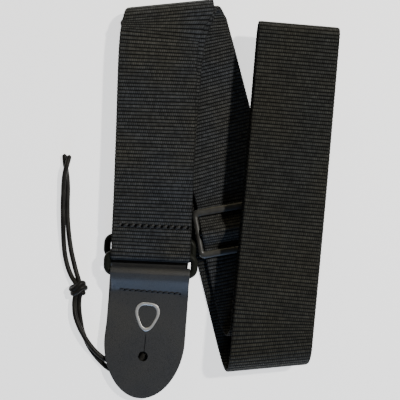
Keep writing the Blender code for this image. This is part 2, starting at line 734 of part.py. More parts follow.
def main():
    clear_scene()
    parts = new_collection(COLLECTION_NAME)
    cutters = new_collection("cutters")
    make_webbing(parts)
    make_ring("ring_front", FRONT_RING_BAR, FRONT_RING_LEAN, FRONT_RING_DROP, parts)
    make_ring("ring_back", BACK_RING_BAR, BACK_RING_LEAN, 0.0, parts)
    make_slider(parts, cutters)
    front_bar = lower_bar(FRONT_RING_BAR, FRONT_RING_LEAN, FRONT_RING_DROP)
    back_bar = lower_bar(BACK_RING_BAR, BACK_RING_LEAN, 0.0)
    make_leather("leather_end_front", front_bar, FRONT_RING_LEAN, FRONT_LEATHER_LEAN, FRONT_FACE, FRONT_TUCK,
                 parts, cutters)
    make_leather("leather_end_back", back_bar, BACK_RING_LEAN, BACK_LEATHER_LEAN, BACK_FACE, BACK_TUCK,
                 parts, cutters)
    make_leather_seam("leather_seam_front", front_bar, FRONT_RING_LEAN, FRONT_LEATHER_LEAN, FRONT_FACE, parts)
    make_leather_seam("leather_seam_back", back_bar, BACK_RING_LEAN, BACK_LEATHER_LEAN, BACK_FACE, parts)
    make_webbing_seam(parts)
    make_emblem(parts, front_bar)
    make_lace(parts)


main()
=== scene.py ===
from math import atan2, cos, pi, radians, sin, sqrt, tan

import bmesh
import bpy
import numpy as np
from mathutils import Matrix, Vector


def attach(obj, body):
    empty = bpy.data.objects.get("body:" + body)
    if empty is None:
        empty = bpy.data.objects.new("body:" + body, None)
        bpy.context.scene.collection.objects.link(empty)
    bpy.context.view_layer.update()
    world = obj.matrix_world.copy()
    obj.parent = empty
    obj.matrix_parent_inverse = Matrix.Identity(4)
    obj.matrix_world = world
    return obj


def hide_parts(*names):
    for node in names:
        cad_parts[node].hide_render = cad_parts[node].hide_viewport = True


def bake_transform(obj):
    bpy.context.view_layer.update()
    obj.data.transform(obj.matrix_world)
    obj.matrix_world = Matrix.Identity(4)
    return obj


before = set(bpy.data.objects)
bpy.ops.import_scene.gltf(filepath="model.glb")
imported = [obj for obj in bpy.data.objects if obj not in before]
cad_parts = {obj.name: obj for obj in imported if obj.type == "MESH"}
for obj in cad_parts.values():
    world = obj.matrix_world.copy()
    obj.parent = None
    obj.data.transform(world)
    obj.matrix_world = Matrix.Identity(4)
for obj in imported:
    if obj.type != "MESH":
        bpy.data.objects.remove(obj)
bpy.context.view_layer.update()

MM = 0.001

# ---------------- layout

# The same plan, heights and sizes as the solids', except where a comment says otherwise.
# Besides, the button hole's slit is 1.6 mm shorter, and the leather's tips are less blunt.
# Everything is laid out from one plan point, moved so that the strap's box is centred on the origin.
PLAN_SHIFT = Vector((-12.154 * MM, -0.256 * MM, 0.0))

# Webbing
WEB_WIDTH = 50.8 * MM
WEB_THICK = 1.4 * MM
GAP = 0.3 * MM
ROW_STEP = 9.0 * MM
FINE_STEP = 2.25 * MM
FOLD_STEPS = 36
TURN_ROWS = 3

# Heights of the webbing's layers, at mid-thickness
Z_LOWER = 0.7 * MM
Z_RETURN = 2.4 * MM
Z_RUN = 4.1 * MM
Z_BACK_RUN = 12.6 * MM
Z_BACK_RETURN = 14.4 * MM
Z_FRONT = 16.2 * MM
Z_INNER = 16.5 * MM
Z_OUTER = 27.0 * MM
BACK_DROP_POWER = 4.0

# Centre lines of the strands in plan (mm), from the ring end to the slider
FRONT_LINE = [(-31.5, -35.4), (-30.6, -16.0), (-28.5, 40.0), (-26.6, 95.0), (-24.2, 109.0), (-19.9, 118.9)]
LOWER_LINE = [(-16.6, 118.9), (12.1, 6.4), (37.0, -93.8)]
OUTER_LINE = [(44.4, -93.8), (53.1, 0.0), (62.1, 104.9)]
INNER_LINE = [(61.3, 104.9), (52.3, 0.0), (45.0, -78.8)]
RUN_LINE = [
    (38.5, -78.8), (34.9, -61.9), (29.3, -36.5), (25.96, -17.69), (22.3, 2.9), (13.0, 36.0), (-1.2, 90.4),
    (-8.4, 117.0),
]
BACK_LINE = [(-17.9, 117.0), (-22.0, 103.0), (-25.5, 71.8), (-29.2, 20.0), (-32.1, -24.7)]

# Directions of the fold lines, in degrees above the X axis
TOP_FOLD = 5.6
INNER_TOP_FOLD = 4.8
BOTTOM_FOLD = 5.3
INNER_BOTTOM_FOLD = 5.0
MIDDLE_FOLD = -4.9

# Rings: a wire bent to a slot with round ends. Each is placed by the centre of its upper bar.
# The wire is 0.6 mm thicker than the solids' wire, and a loop is 1 mm wider than the solids' loops.
WIRE_D = 4.6 * MM
RING_INSIDE = 51.4 * MM
RING_PITCH = 12.2 * MM
RING_CORNER = 4.2 * MM
RING_CORNER_STEPS = 10
LOOP_RADIUS = 3.25 * MM
LOOP_WIDTH = 51.2 * MM
# How far the webbing wraps each ring's bar, in degrees
FRONT_LOOP_WRAP = (-110, 90)
BACK_LOOP_WRAP = (-90, 90)
FRONT_RING_BAR = Vector((-31.5, -35.4, 12.95)) * MM
FRONT_RING_LEAN = 2.6
FRONT_RING_DROP = 8.0
BACK_RING_BAR = Vector((-32.2, -25.4, 4.5)) * MM
BACK_RING_LEAN = 3.5
# The front end's sewn layer, as distances and heights (mm) from the ring's bar
FRONT_TUCK_WEB = [(-21.4, 14.5), (-17.0, 14.4), (-11.0, 13.2), (-5.5, 11.0)]

# Slider: a frame with three bars
SLIDER_CENTRE = Vector((25.96, -17.69, 6.6)) * MM
SLIDER_LEAN = 10.0
SLIDER_LENGTH = 58.6 * MM
SLIDER_HEIGHT = 32.4 * MM
SLIDER_INSIDE = 51.6 * MM
SLIDER_BAR = 4.8 * MM
SLIDER_THICK = 3.0 * MM
SLIDER_MID_BAR = 2.4 * MM
SLIDER_CORNER = 4.0 * MM
SLIDER_INSIDE_CORNER = 0.8 * MM
SLIDER_CORNER_STEPS = 12
SLIDER_SHARP = 50.0
SECTION_STEPS = 28
HUMP_RISE = 6.4 * MM
HUMP_HALF = 11.0 * MM
HUMP_REACH = 15.8 * MM
HUMP_STEPS = 40
# The end that wraps the middle bar, as distances and heights (mm) from the slider's centre
TAIL_START = -23.0
TAIL_WRAP = (-90, 150)
TAIL_WRAP_STEPS = 30
TAIL_LEVEL = (-17.0, 2.4)
TAIL_APPROACH = [(-11.0, 2.4), (-8.0, 2.6), (-5.0, 3.3), (-2.5, 4.05)]

# Leather ends
LEATHER_TOP_WIDTH = 49.8 * MM
LEATHER_WIDTH = 52.4 * MM
LEATHER_THICK = 2.0 * MM
FRONT_LEATHER_LEAN = 6.0
BACK_LEATHER_LEAN = 3.0
LEATHER_LENGTH = 81.6 * MM
LEATHER_SIDE = 44.0 * MM
TIP_POWER = 1.9
TIP_FLAT = 0.0002
BUTTON_HOLE_AT = 54.2 * MM
BUTTON_HOLE_D = 6.4 * MM
SLIT_LENGTH = 11.9 * MM
SLIT_OVERLAP = 0.8 * MM
CUT_DEPTH = 8.0 * MM
TURN_START = 4.0 * MM
TURN_SPAN = 14.0 * MM
BEND_STEPS = 12
LEATHER_LOOP = 3.4 * MM
LEATHER_WRAP = (-95, -270)
LEATHER_WRAP_STEPS = 40
TIP_STEPS = 70
# Extra width where the leather is pressed round the bar, and how far down it fades
LOOP_FLARE = 1.3 * MM
FLARE_REACH = 9.0 * MM
LEATHER_COLUMNS = 48
LEATHER_ROUND = 0.45 * MM
LEATHER_SHARP = 40.0
# The slit is a closed cut, so that it is narrow and slants through the leather
SLIT_TILT = 24.0
SLIT_CUT = 0.42 * MM
# Heights (mm) of the face layer and the tucked layer at distances (mm) from the ring's lower bar
FRONT_FACE = [(4.0, 13.3), (9.0, 9.9), (13.0, 8.2), (18.0, 7.7), (30.0, 7.2), (55.0, 7.0), (82.0, 6.6)]
FRONT_TUCK = [(16.0, 5.5), (12.0, 5.8), (4.0, 7.5)]
BACK_FACE = [(4.0, 7.2), (9.0, 4.7), (13.0, 3.7), (18.0, 3.2), (28.0, 1.4), (55.0, 1.1), (82.0, 1.1)]
BACK_TUCK = [(16.0, 1.3), (12.0, 1.3), (4.0, 1.2)]

# Lace: one round cord doubled through the back leather's hole; each half's route in mm, x, y, z
LACE_D = 3.2 * MM
LACE_STEP = 0.9 * MM
LACE_SIDES = 20
LACE_LEFT = [
    (-37.4, -92.6, 1.2), (-37.6, -93.0, 2.6), (-38.0, -93.9, 3.8), (-38.8, -95.4, 4.05),
    (-41.6, -98.2, 4.05), (-45.4, -101.5, 4.05), (-49.8, -104.2, 4.05), (-54.6, -105.4, 4.05),
    (-59.4, -105.1, 4.05), (-64.2, -102.6, 4.15), (-69.0, -98.2, 4.5), (-73.3, -92.6, 5.0),
    (-77.2, -86.0, 5.2), (-79.8, -80.4, 5.1), (-81.5, -75.2, 4.6), (-82.2, -69.5, 3.8), (-82.0, -64.9, 3.6),
    (-81.0, -60.6, 3.6), (-80.6, -56.6, 4.4), (-82.0, -53.4, 3.4), (-83.9, -50.8, 2.6), (-86.0, -46.4, 1.9),
    (-87.5, -41.8, 1.65), (-88.8, -35.6, 1.65), (-89.5, -28.0, 1.8), (-89.7, -20.0, 2.6),
    (-89.7, -11.0, 3.6), (-89.7, -2.0, 3.7), (-89.4, 4.2, 3.8), (-89.2, 9.3, 4.1), (-88.7, 14.3, 4.7),
    (-87.8, 19.3, 5.1), (-86.5, 24.3, 4.7), (-85.4, 29.5, 3.0),
]
LACE_RIGHT = [
    (-34.3, -92.0, 1.2), (-34.4, -92.6, 2.6), (-34.8, -94.4, 3.8), (-36.0, -97.8, 4.05),
    (-37.4, -101.8, 4.05), (-40.4, -106.0, 4.05), (-44.6, -109.8, 4.05), (-49.4, -112.1, 4.05),
    (-54.6, -112.4, 3.9), (-59.8, -110.4, 2.7), (-64.7, -106.6, 1.75), (-69.1, -101.7, 1.65),
    (-72.6, -96.7, 1.65), (-75.4, -90.9, 1.65), (-77.3, -85.6, 1.65), (-78.3, -80.4, 1.65),
    (-79.1, -75.2, 1.65), (-79.5, -69.5, 1.65), (-79.3, -64.9, 1.75), (-78.3, -60.6, 3.0),
    (-78.4, -57.4, 4.2), (-79.0, -54.0, 3.6), (-80.0, -50.9, 2.7), (-81.6, -46.0, 1.9),
    (-83.0, -40.6, 1.65), (-84.4, -34.4, 1.65), (-85.6, -27.0, 1.65), (-86.5, -19.0, 1.65),
    (-87.0, -11.0, 1.65), (-87.1, -2.0, 1.65), (-86.9, 4.2, 1.65), (-86.9, 9.3, 1.65), (-87.2, 14.3, 1.65),
    (-87.8, 19.3, 1.65), (-88.6, 24.3, 1.65), (-89.1, 30.4, 1.65),
]
KNOT_CENTRE = Vector((-79.4, -57.7, 4.9)) * MM
KNOT_TURNS = 2.25
KNOT_REACH = Vector((4.5, 3.1, 2.75)) * MM
KNOT_TILT = 14.0
KNOT_START = -0.6 * pi
KNOT_SHRINK = 0.32
KNOT_WAVE = 0.9 * MM
KNOT_CORD_D = 1.1 * LACE_D
KNOT_STEPS = 120

# Seams: single stitches, each between two needle holes drawn as painted shadows. A stitch is its length,
# radius and slant.
WEB_STITCHES = 11
WEB_SEAM_SPAN = 46.0 * MM
WEB_SEAM_AT = 18.6 * MM
WEB_STITCH = (3.4 * MM, 0.62 * MM, radians(36))
LEATHER_STITCHES = 11
LEATHER_SEAM_SPAN = 39.6 * MM
LEATHER_SEAM_AT = 11.6 * MM
LEATHER_STITCH = (3.0 * MM, 0.46 * MM, radians(4))
STITCH_POINTS = 13
THREAD_SIDES = 12
# How high a stitch's middle stands and how deep its ends dive, in radii of its thread
STITCH_RISE = 0.75
STITCH_DIVE = 1.7
# Size of each needle hole's painted shadow: a flat near-black oval in the surface
HOLE_LENGTH = 2.2 * MM
HOLE_WIDTH = 1.5 * MM
HOLE_DEPTH = 0.2 * MM
# How deep and how far along a seam presses what it is sewn through, and how it nicks the webbing's edges
SEAM_PULL = 0.35 * MM
SEAM_REACH = 1.7 * MM
SEAM_NICK = 0.55 * MM
# A seam presses leather less than webbing, and its groove stops short of the leather's edges
LEATHER_PRESS = 0.8 * SEAM_PULL
GROOVE_MARGIN = 3.5 * MM
GROOVE_FADE = 2.0 * MM

# Emblem: a foil line round the outline of a plectrum
EMBLEM_AT = 27.4 * MM
EMBLEM_WIDTH = 15.4 * MM
EMBLEM_HEIGHT = 18.6 * MM
EMBLEM_STROKE = 1.9 * MM
EMBLEM_BULGE = 0.10
EMBLEM_STEPS = 160
# The foil's section: shares of the stroke, and heights (mm) over the leather
EMBLEM_SECTION = (
    (0.0, -0.05), (0.0, 0.10), (0.12, 0.19), (0.5, 0.22), (0.88, 0.19), (1.0, 0.10), (1.0, -0.05),
)


def plan_point(x_mm, y_mm, z=0.0):
    """A point of the plan, in metres."""
    return Vector((x_mm * MM, y_mm * MM, z)) + PLAN_SHIFT


def smooth(t):
    """From 0 to 1 with a soft start and end."""
    t = min(max(t, 0.0), 1.0)
    return t * t * (3 - 2 * t)


def spline_point(points, t):
    """A Catmull-Rom curve through the points; t runs from 0 to 1 over all its spans."""
    spans = len(points) - 1
    i = min(int(t * spans), spans - 1)
    f = t * spans - i
    p1, p2 = points[i], points[i + 1]
    p0 = points[i - 1] if i else p1 * 2 - p2
    p3 = points[i + 2] if i + 2 <= spans else p2 * 2 - p1
    return 0.5 * ((2 * p1) + (p2 - p0) * f + (2 * p0 - 5 * p1 + 4 * p2 - p3) * f * f
                  + (3 * p1 - p0 - 3 * p2 + p3) * f ** 3)


def dense_curve(points, per_span=24):
    """Many points along the curve through the given ones."""
    count = per_span * (len(points) - 1)
    return [spline_point(points, k / count) for k in range(count + 1)]


def cumulative(points):
    """Distance of each point from the first along the line through them."""
    return np.concatenate([[0.0], np.cumsum(np.linalg.norm(np.diff(points, axis=0), axis=1))])


def even_curve(points, step):
    """Points about a step apart along the curve, both ends kept."""
    dense = np.array(dense_curve(points))
    lengths = cumulative(dense)
    count = max(1, round(lengths[-1] / step))
    wanted = np.linspace(0.0, lengths[-1], count + 1)
    return [Vector([np.interp(w, lengths, dense[:, k]) for k in range(dense.shape[1])]) for w in wanted]


# ---------------- camera, floor and lights

CAMERA_HEIGHT = 500 * MM
FIELD = 263.7 * MM
SENSOR = 36.0
FLOOR_SIZE = 24.0
FLOOR_DEPTH = 0.2 * MM
FLOOR_GLOW = 1.3
WORLD_GLOW = 0.06
# Each light's place in metres, its diameter, watts and colour
LIGHTS = {
    "key": ((0.60, 0.32, 0.96), 0.07, 12.5, (1.0, 0.97, 0.92)),
    "low_blue": ((-0.1, -1.15, 0.30), 0.4, 6.0, (0.42, 0.62, 1.0)),
    "warm_top": ((-0.3, 1.15, 0.45), 0.4, 1.8, (1.0, 0.88, 0.56)),
}


def add_object(name, data):
    """A new object, linked to the scene."""
    obj = bpy.data.objects.new(name, data)
    bpy.context.scene.collection.objects.link(obj)
    return obj


def make_camera():
    """The main view, straight down on the plan's own origin."""
    data = bpy.data.cameras.new("camera")
    data.sensor_width = SENSOR
    data.lens = SENSOR * CAMERA_HEIGHT / FIELD
    camera = add_object("camera", data)
    camera.location = PLAN_SHIFT + Vector((0.0, 0.0, CAMERA_HEIGHT))
    bpy.context.scene.camera = camera


def make_light(name, place, size, watts, colour):
    """A round area light that faces the origin."""
    data = bpy.data.lights.new(name, "AREA")
    data.shape = "DISK"
    data.size = size
    data.energy = watts
    data.color = colour
    lamp = add_object(name, data)
    lamp.location = place
    lamp.rotation_euler = (-Vector(place)).to_track_quat("-Z", "Y").to_euler()


def make_stage():
    """A wide floor of glowing paper, a faint world and the lights."""
    bpy.ops.mesh.primitive_plane_add(size=FLOOR_SIZE, location=(0.0, 0.0, -FLOOR_DEPTH))
    floor = bpy.context.object
    floor.name = "floor"
    n = Nodes("floor_paper")
    n.put((1.0, 1.0, 1.0, 1.0), n.inputs["Emission Color"])
    n.put(FLOOR_GLOW, n.inputs["Emission Strength"])
    floor.data.materials.append(n.look((0.93, 0.93, 0.93, 1.0), 0.9, 0.5))
    world = bpy.data.worlds.new("studio")
    bpy.context.scene.world = world
    world.use_nodes = True
    background = world.node_tree.nodes["Background"].inputs
    background["Color"].default_value = (1.0, 0.99, 0.97, 1.0)
    background["Strength"].default_value = WORLD_GLOW
    for name, settings in LIGHTS.items():
        make_light(name, *settings)


# ---------------- materials

RIB_PITCH = 2.25 * MM
YARN_PITCH = 1.3 * MM


class Nodes:
    """A new material, with short calls that build its node tree."""

    def __init__(self, name):
        self.material = bpy.data.materials.new(name)
        self.material.use_nodes = True
        self.tree = self.material.node_tree
        self.inputs = self.tree.nodes["Principled BSDF"].inputs

    def add(self, kind, **settings):
        """A new node with its settings."""
        node = self.tree.nodes.new(kind)
        for key, value in settings.items():
            setattr(node, key, value)
        return node

    def put(self, value, socket):
        """Link another node's output to a socket, or set a plain value on it."""
        if isinstance(value, bpy.types.NodeSocket):
            self.tree.links.new(value, socket)
        else:
            socket.default_value = value

    def fill(self, node, *values):
        """Put values on a node's first sockets; gives its first output."""
        for value, socket in zip(values, node.inputs):
            self.put(value, socket)
        return node.outputs[0]

    def name_inputs(self, node, **values):
        """Put values on a node's sockets by their names; gives the node."""
        for name, value in values.items():
            self.put(value, node.inputs[name])
        return node

    def math(self, operation, *values):
        return self.fill(self.add("ShaderNodeMath", operation=operation), *values)

    def plus(self, a, b):
        return self.math("ADD", a, b)

    def minus(self, a, b):
        return self.math("SUBTRACT", a, b)

    def times(self, a, b):
        return self.math("MULTIPLY", a, b)

    def vector_times(self, a, b):
        return self.fill(self.add("ShaderNodeVectorMath", operation="MULTIPLY"), a, b)

    def position(self):
        return self.add("ShaderNodeTexCoord").outputs["Object"]

    def uv(self):
        split = self.add("ShaderNodeSeparateXYZ")
        self.put(self.add("ShaderNodeTexCoord").outputs["UV"], split.inputs[0])
        return split.outputs[0], split.outputs[1]

    def noise(self, vector, scale, detail=3.0, roughness=0.5):
        node = self.add("ShaderNodeTexNoise")
        self.name_inputs(node, Vector=vector, Scale=scale, Detail=detail, Roughness=roughness)
        return node.outputs["Fac"]

    def cells(self, vector, scale, feature="F1"):
        node = self.add("ShaderNodeTexVoronoi", feature=feature)
        return self.name_inputs(node, Vector=vector, Scale=scale).outputs["Distance"]

    def span(self, value, low, high, to_low=0.0, to_high=1.0):
        """A value's range carried to another one, and held inside it."""
        return self.fill(self.add("ShaderNodeMapRange", clamp=True), value, low, high, to_low, to_high)

    def crown(self, value, power):
        """1 in the middle of each whole step of a value, falling to 0 at its ends."""
        within = self.math("ABSOLUTE", self.minus(self.math("FRACT", value), 0.5))
        return self.minus(1.0, self.math("POWER", self.times(within, 2.0), power))

    def mix(self, factor, colour_a, colour_b):
        node = self.add("ShaderNodeMix", data_type="RGBA")
        self.put(factor, node.inputs[0])
        for colour, socket in ((colour_a, node.inputs[6]), (colour_b, node.inputs[7])):
            self.put(colour if isinstance(colour, bpy.types.NodeSocket) else (*colour, 1.0), socket)
        return node.outputs[2]

    def vector(self, *values):
        """Up to three numbers as a vector or a colour."""
        return self.fill(self.add("ShaderNodeCombineXYZ"), *values)

    def look(self, colour, roughness, shine, relief=None, metallic=0.0):
        """The finished material; relief is a height, its strength and its depth in metres."""
        self.put(colour, self.inputs["Base Color"])
        self.put(roughness, self.inputs["Roughness"])
        self.put(shine, self.inputs["Specular IOR Level"])
        self.put(metallic, self.inputs["Metallic"])
        if relief is not None:
            height, strength, depth = relief
            bump = self.add("ShaderNodeBump")
            self.name_inputs(bump, Height=height, Strength=strength, Distance=depth)
            self.put(bump.outputs[0], self.inputs["Normal"])
        return self.material


def webbing_material(name, cool, warm):
    """Ribbed weave: warp yarns cross each rib, and go one over, one under from rib to rib."""
    n = Nodes(name)
    across, along = n.uv()
    rib = n.math("DIVIDE", along, RIB_PITCH)
    row = n.math("FLOOR", rib)
    brick = n.times(n.math("PINGPONG", row, 1.0), 0.5)
    column = n.plus(n.math("DIVIDE", across, YARN_PITCH), brick)
    crown = n.crown(column, 2.6)
    rib_crown = n.crown(rib, 2.0)
    fibres = n.noise(n.position(), 5200.0, 2.0, 0.6)
    yarn = n.times(crown, n.math("POWER", rib_crown, 0.5))
    height = n.plus(yarn, n.times(fibres, 0.25))
    cell = n.add("ShaderNodeTexWhiteNoise", noise_dimensions="2D")
    n.name_inputs(cell, Vector=n.vector(n.math("FLOOR", column), row))
    yarn_tone = n.span(cell.outputs["Value"], 0.0, 1.0, 0.75, 1.3)
    # Painted shade darkens the sides of each yarn and the grooves between ribs; yarn_tone and the streak
    # noise are random tone.
    yarn_shade = n.times(yarn_tone, n.span(crown, 0.0, 0.8, 0.45, 1.0))
    streak = n.noise(n.vector_times(n.position(), (0.10, 1.0, 1.0)), 620.0, 2.0)
    rib_shade = n.times(n.span(rib_crown, 0.2, 0.85, 0.02, 1.3), n.span(streak, 0.3, 0.7, 0.7, 1.3))
    # Painted shade: the last millimetre at each side edge of the band is darkened, for the shadow on its
    # edges.
    from_middle = n.math("ABSOLUTE", n.minus(n.math("DIVIDE", across, WEB_WIDTH), 0.5))
    edge_shade = n.span(from_middle, 0.48, 0.497, 1.0, 0.3)
    shade = n.times(n.times(yarn_shade, rib_shade), edge_shade)
    # Painted reflection: a slow random mix of a cool and a warm tint stands in for the bluish and olive
    # reflections on the weave.
    wide = n.noise(n.position(), 26.0, 2.0)
    tint = n.mix(n.span(wide, 0.35, 0.65), cool, warm)
    tone = n.vector_times(tint, n.vector(shade, shade, shade))
    return n.look(tone, n.span(fibres, 0.3, 0.7, 0.55, 0.7), 0.12, (height, 0.9, 0.28 * MM))


def leather_material():
    """Black finished leather: fine pebble grain, pores and slow changes in sheen."""
    n = Nodes("leather_grain")
    place = n.position()
    warp = n.noise(place, 900.0, 2.0)
    grain = n.cells(place, 1500.0, "DISTANCE_TO_EDGE")
    pores = n.cells(place, 620.0)
    wide = n.noise(place, 38.0, 3.0)
    height = n.plus(n.span(grain, 0.0, 0.22), n.times(warp, 0.6))
    height = n.plus(height, n.span(pores, 0.05, 0.2, -0.35, 0.0))
    tone = n.mix(n.span(wide, 0.35, 0.65), (0.036, 0.038, 0.041), (0.046, 0.045, 0.041))
    # Painted shade: the hollows between the grain's pebbles are darkened.
    lines = n.mix(n.span(grain, 0.0, 0.14), (0.018, 0.018, 0.018), tone)
    return n.look(lines, n.span(wide, 0.3, 0.7, 0.5, 0.6), 0.5, (height, 0.35, 0.10 * MM))


def gloss_material(name, base, roughness, shine):
    """Hard black finish with orange peel, faint wipe marks and dulled spots."""
    n = Nodes(name)
    place = n.position()
    peel = n.noise(place, 800.0, 2.0)
    marks = n.noise(place, 160.0, 5.0, 0.7)
    tone = n.mix(n.span(marks, 0.4, 0.7), base, tuple(1.5 * c for c in base))
    dulled = n.span(marks, 0.35, 0.7, roughness * 0.85, roughness * 1.3)
    return n.look(tone, dulled, shine, (peel, 0.12, 0.05 * MM))


def thread_material(name, base, pitch, depth):
    """Sewing thread: two plies each way wind round it along its length. UV is turns and metres."""
    n = Nodes(name)
    turns, along = n.uv()
    wind = n.math("DIVIDE", along, pitch)
    plies = n.times(turns, 2.0)
    one = n.math("FRACT", n.plus(plies, wind))
    other = n.math("FRACT", n.minus(plies, wind))
    braid = n.math("MAXIMUM", n.math("SINE", n.times(one, pi)), n.math("SINE", n.times(other, pi)))
    fibres = n.noise(n.position(), 4200.0, 2.0)
    height = n.plus(braid, n.times(fibres, 0.3))
    # Painted shade: the valleys between the plies are darkened to 0.45 of the base colour.
    tone = n.mix(n.span(braid, 0.55, 0.95), tuple(0.45 * c for c in base), base)
    return n.look(tone, n.span(fibres, 0.3, 0.7, 0.5, 0.62), 0.6, (height, 0.6, depth))


def foil_material():
    """Silver foil stamped on leather: the grain shows through it, with small worn spots."""
    n = Nodes("silver_foil")
    place = n.position()
    grain = n.cells(place, 1500.0, "DISTANCE_TO_EDGE")
    worn = n.noise(place, 700.0, 4.0, 0.7)
    tone = n.mix(n.span(worn, 0.58, 0.75), (0.80, 0.79, 0.76), (0.45, 0.44, 0.42))
    return n.look(tone, n.span(worn, 0.3, 0.7, 0.32, 0.5), 0.5, (grain, 0.25, 0.06 * MM), 0.75)


def lace_material():
    """Waxed round cord: a fine close braid under a smooth wax that is worn in patches."""
    n = Nodes("lace_cord")
    turns, along = n.uv()
    wind = n.math("DIVIDE", along, 2.2 * MM)
    around = n.times(turns, 6.0)
    one = n.math("SINE", n.times(n.plus(around, wind), 2 * pi))
    other = n.math("SINE", n.times(n.minus(around, wind), 2 * pi))
    fibres = n.noise(n.position(), 2600.0, 2.0)
    wear = n.noise(n.position(), 140.0, 3.0, 0.6)
    tone = n.mix(n.span(wear, 0.4, 0.65), (0.014, 0.013, 0.012), (0.026, 0.025, 0.022))
    height = n.plus(n.times(n.times(one, other), 0.5), fibres)
    return n.look(tone, n.span(wear, 0.3, 0.7, 0.34, 0.46), 0.1, (height, 0.35, 0.06 * MM))


def hole_shadow_material():
    """Painted shadow of a needle hole: a near-black material."""
    n = Nodes("needle_hole_shadow")
    depth = n.noise(n.position(), 1500.0, 2.0)
    return n.look(n.mix(depth, (0.0015, 0.0015, 0.0015), (0.004, 0.004, 0.004)), 0.95, 0.05)


# ---------------- mesh helpers

# The square of a cord's thickness at its very tip, as a share of its full one
CORD_TIP = 0.06


def mesh_object(name, points, faces, uvs, material):
    """A smooth closed body with its faces outward; uvs is one pair for each face corner."""
    mesh = bpy.data.meshes.new(name)
    mesh.from_pydata([tuple(p) for p in points], [], faces)
    if uvs is not None:
        layer = mesh.uv_layers.new(name="UVMap")
        layer.data.foreach_set("uv", np.asarray(uvs, dtype=np.float32).ravel())
    mesh.materials.append(material)
    mesh.shade_smooth()
    solid = bmesh.new()
    solid.from_mesh(mesh)
    bmesh.ops.recalc_face_normals(solid, faces=solid.faces)
    solid.to_mesh(mesh)
    solid.free()
    return add_object(name, mesh)


def closed_tube(name, grid, uv_grid, material, wrap_u):
    """A closed body from a grid of points (rows, points round), capped at both ends.

    wrap_u is how far U has gone where the last point of a row meets the first.
    """
    rows, around = grid.shape[:2]
    index = np.arange(rows * around).reshape(rows, around)
    nxt = np.roll(index, -1, axis=1)
    quads = np.stack([index[:-1], index[1:], nxt[1:], nxt[:-1]], axis=-1).reshape(-1, 4)
    after = np.roll(uv_grid, -1, axis=1)
    after[:, -1, 0] += wrap_u
    corners = np.stack([uv_grid[:-1], uv_grid[1:], after[1:], after[:-1]], axis=2).reshape(-1, 4, 2)
    faces = quads.tolist() + [index[0].tolist(), index[-1][::-1].tolist()]
    uvs = np.concatenate([corners.reshape(-1, 2), uv_grid[0], uv_grid[-1][::-1]])
    return mesh_object(name, grid.reshape(-1, 3), faces, uvs, material)


def ring_faces(rows, around):
    """The faces of a closed ring of points: rows of sections, each with its points around."""
    faces = []
    for row in range(rows):
        a, b = row * around, (row + 1) % rows * around
        for k in range(around):
            after = (k + 1) % around
            faces.append((a + k, a + after, b + after, b + k))
    return faces


def round_cord(name, path, radius, material, sides):
    """A round tube along a dense path, with rounded ends. Its UV is turns and metres."""
    path = np.array(path)
    tangent = np.gradient(path, axis=0)
    tangent /= np.linalg.norm(tangent, axis=1, keepdims=True)
    side = np.cross(tangent[0], (0.0, 0.0, 1.0))
    lengths = cumulative(path)
    grid, uvs = [], []
    for k, (point, along) in enumerate(zip(path, tangent)):
        side = side - along * np.dot(side, along)
        side /= np.linalg.norm(side)
        up = np.cross(side, along)
        reach = min(lengths[k], lengths[-1] - lengths[k])
        size = radius * sqrt(max(1 - (1 - min(reach / radius, 1.0)) ** 2, CORD_TIP))
        turns = np.arange(sides) / sides
        ring = [point + size * (side * cos(2 * pi * t) + up * sin(2 * pi * t)) for t in turns]
        grid.append(ring)
        uvs.append([(t, lengths[k]) for t in turns])
    return closed_tube(name, np.array(grid), np.array(uvs), material, 1.0)


def join_pieces(name, pieces):
    """One mesh object from several."""
    joined = bmesh.new()
    for piece in pieces:
        joined.from_mesh(piece.data)
    mesh = bpy.data.meshes.new(name)
    joined.to_mesh(mesh)
    joined.free()
    mesh.materials.append(pieces[0].data.materials[0])
    mesh.shade_smooth()
    for piece in pieces:
        bpy.data.objects.remove(piece, do_unlink=True)
    return add_object(name, mesh)


def combine(obj, other, operation):
    """Cut the other object out of a mesh object, or merge it in, and remove it."""
    step = obj.modifiers.new("step", "BOOLEAN")
    step.operation = operation
    step.object = other
    graph = bpy.context.evaluated_depsgraph_get()
    graph.update()
    mesh = bpy.data.meshes.new_from_object(obj.evaluated_get(graph))
    obj.modifiers.clear()
    obj.data = mesh
    mesh.shade_smooth()
    bpy.data.objects.remove(other, do_unlink=True)


# ---------------- the band's path

def strand_rows(line, height, first_fold=None, last_fold=None):
    """Rows (west, east) of a strand: square to its line, parallel to the fold lines at its ends."""
    centre = even_curve([plan_point(x, y) for x, y in line], FINE_STEP)
    rows = []
    last = len(centre) - 1
    reach = TURN_ROWS * ROW_STEP / FINE_STEP
    for k, point in enumerate(centre):
        before, after = centre[max(k - 1, 0)], centre[min(k + 1, last)]
        along = (after - before).normalized()
        across = Vector((abs(along.y), -along.x * (1 if along.y > 0 else -1), 0.0)).normalized()
        square = atan2(across.y, across.x)
        skew = 0.0
        if first_fold is not None:
            skew += (radians(first_fold) - square) * (1 - smooth(k / reach))
        if last_fold is not None:
            skew += (radians(last_fold) - square) * (1 - smooth((last - k) / reach))
        direction = Vector((cos(square + skew), sin(square + skew), 0.0))
        half = WEB_WIDTH / 2 / cos(skew)
        z = Vector((0.0, 0.0, height(k / last)))
        rows.append((point - direction * half + z, point + direction * half + z))
    return rows


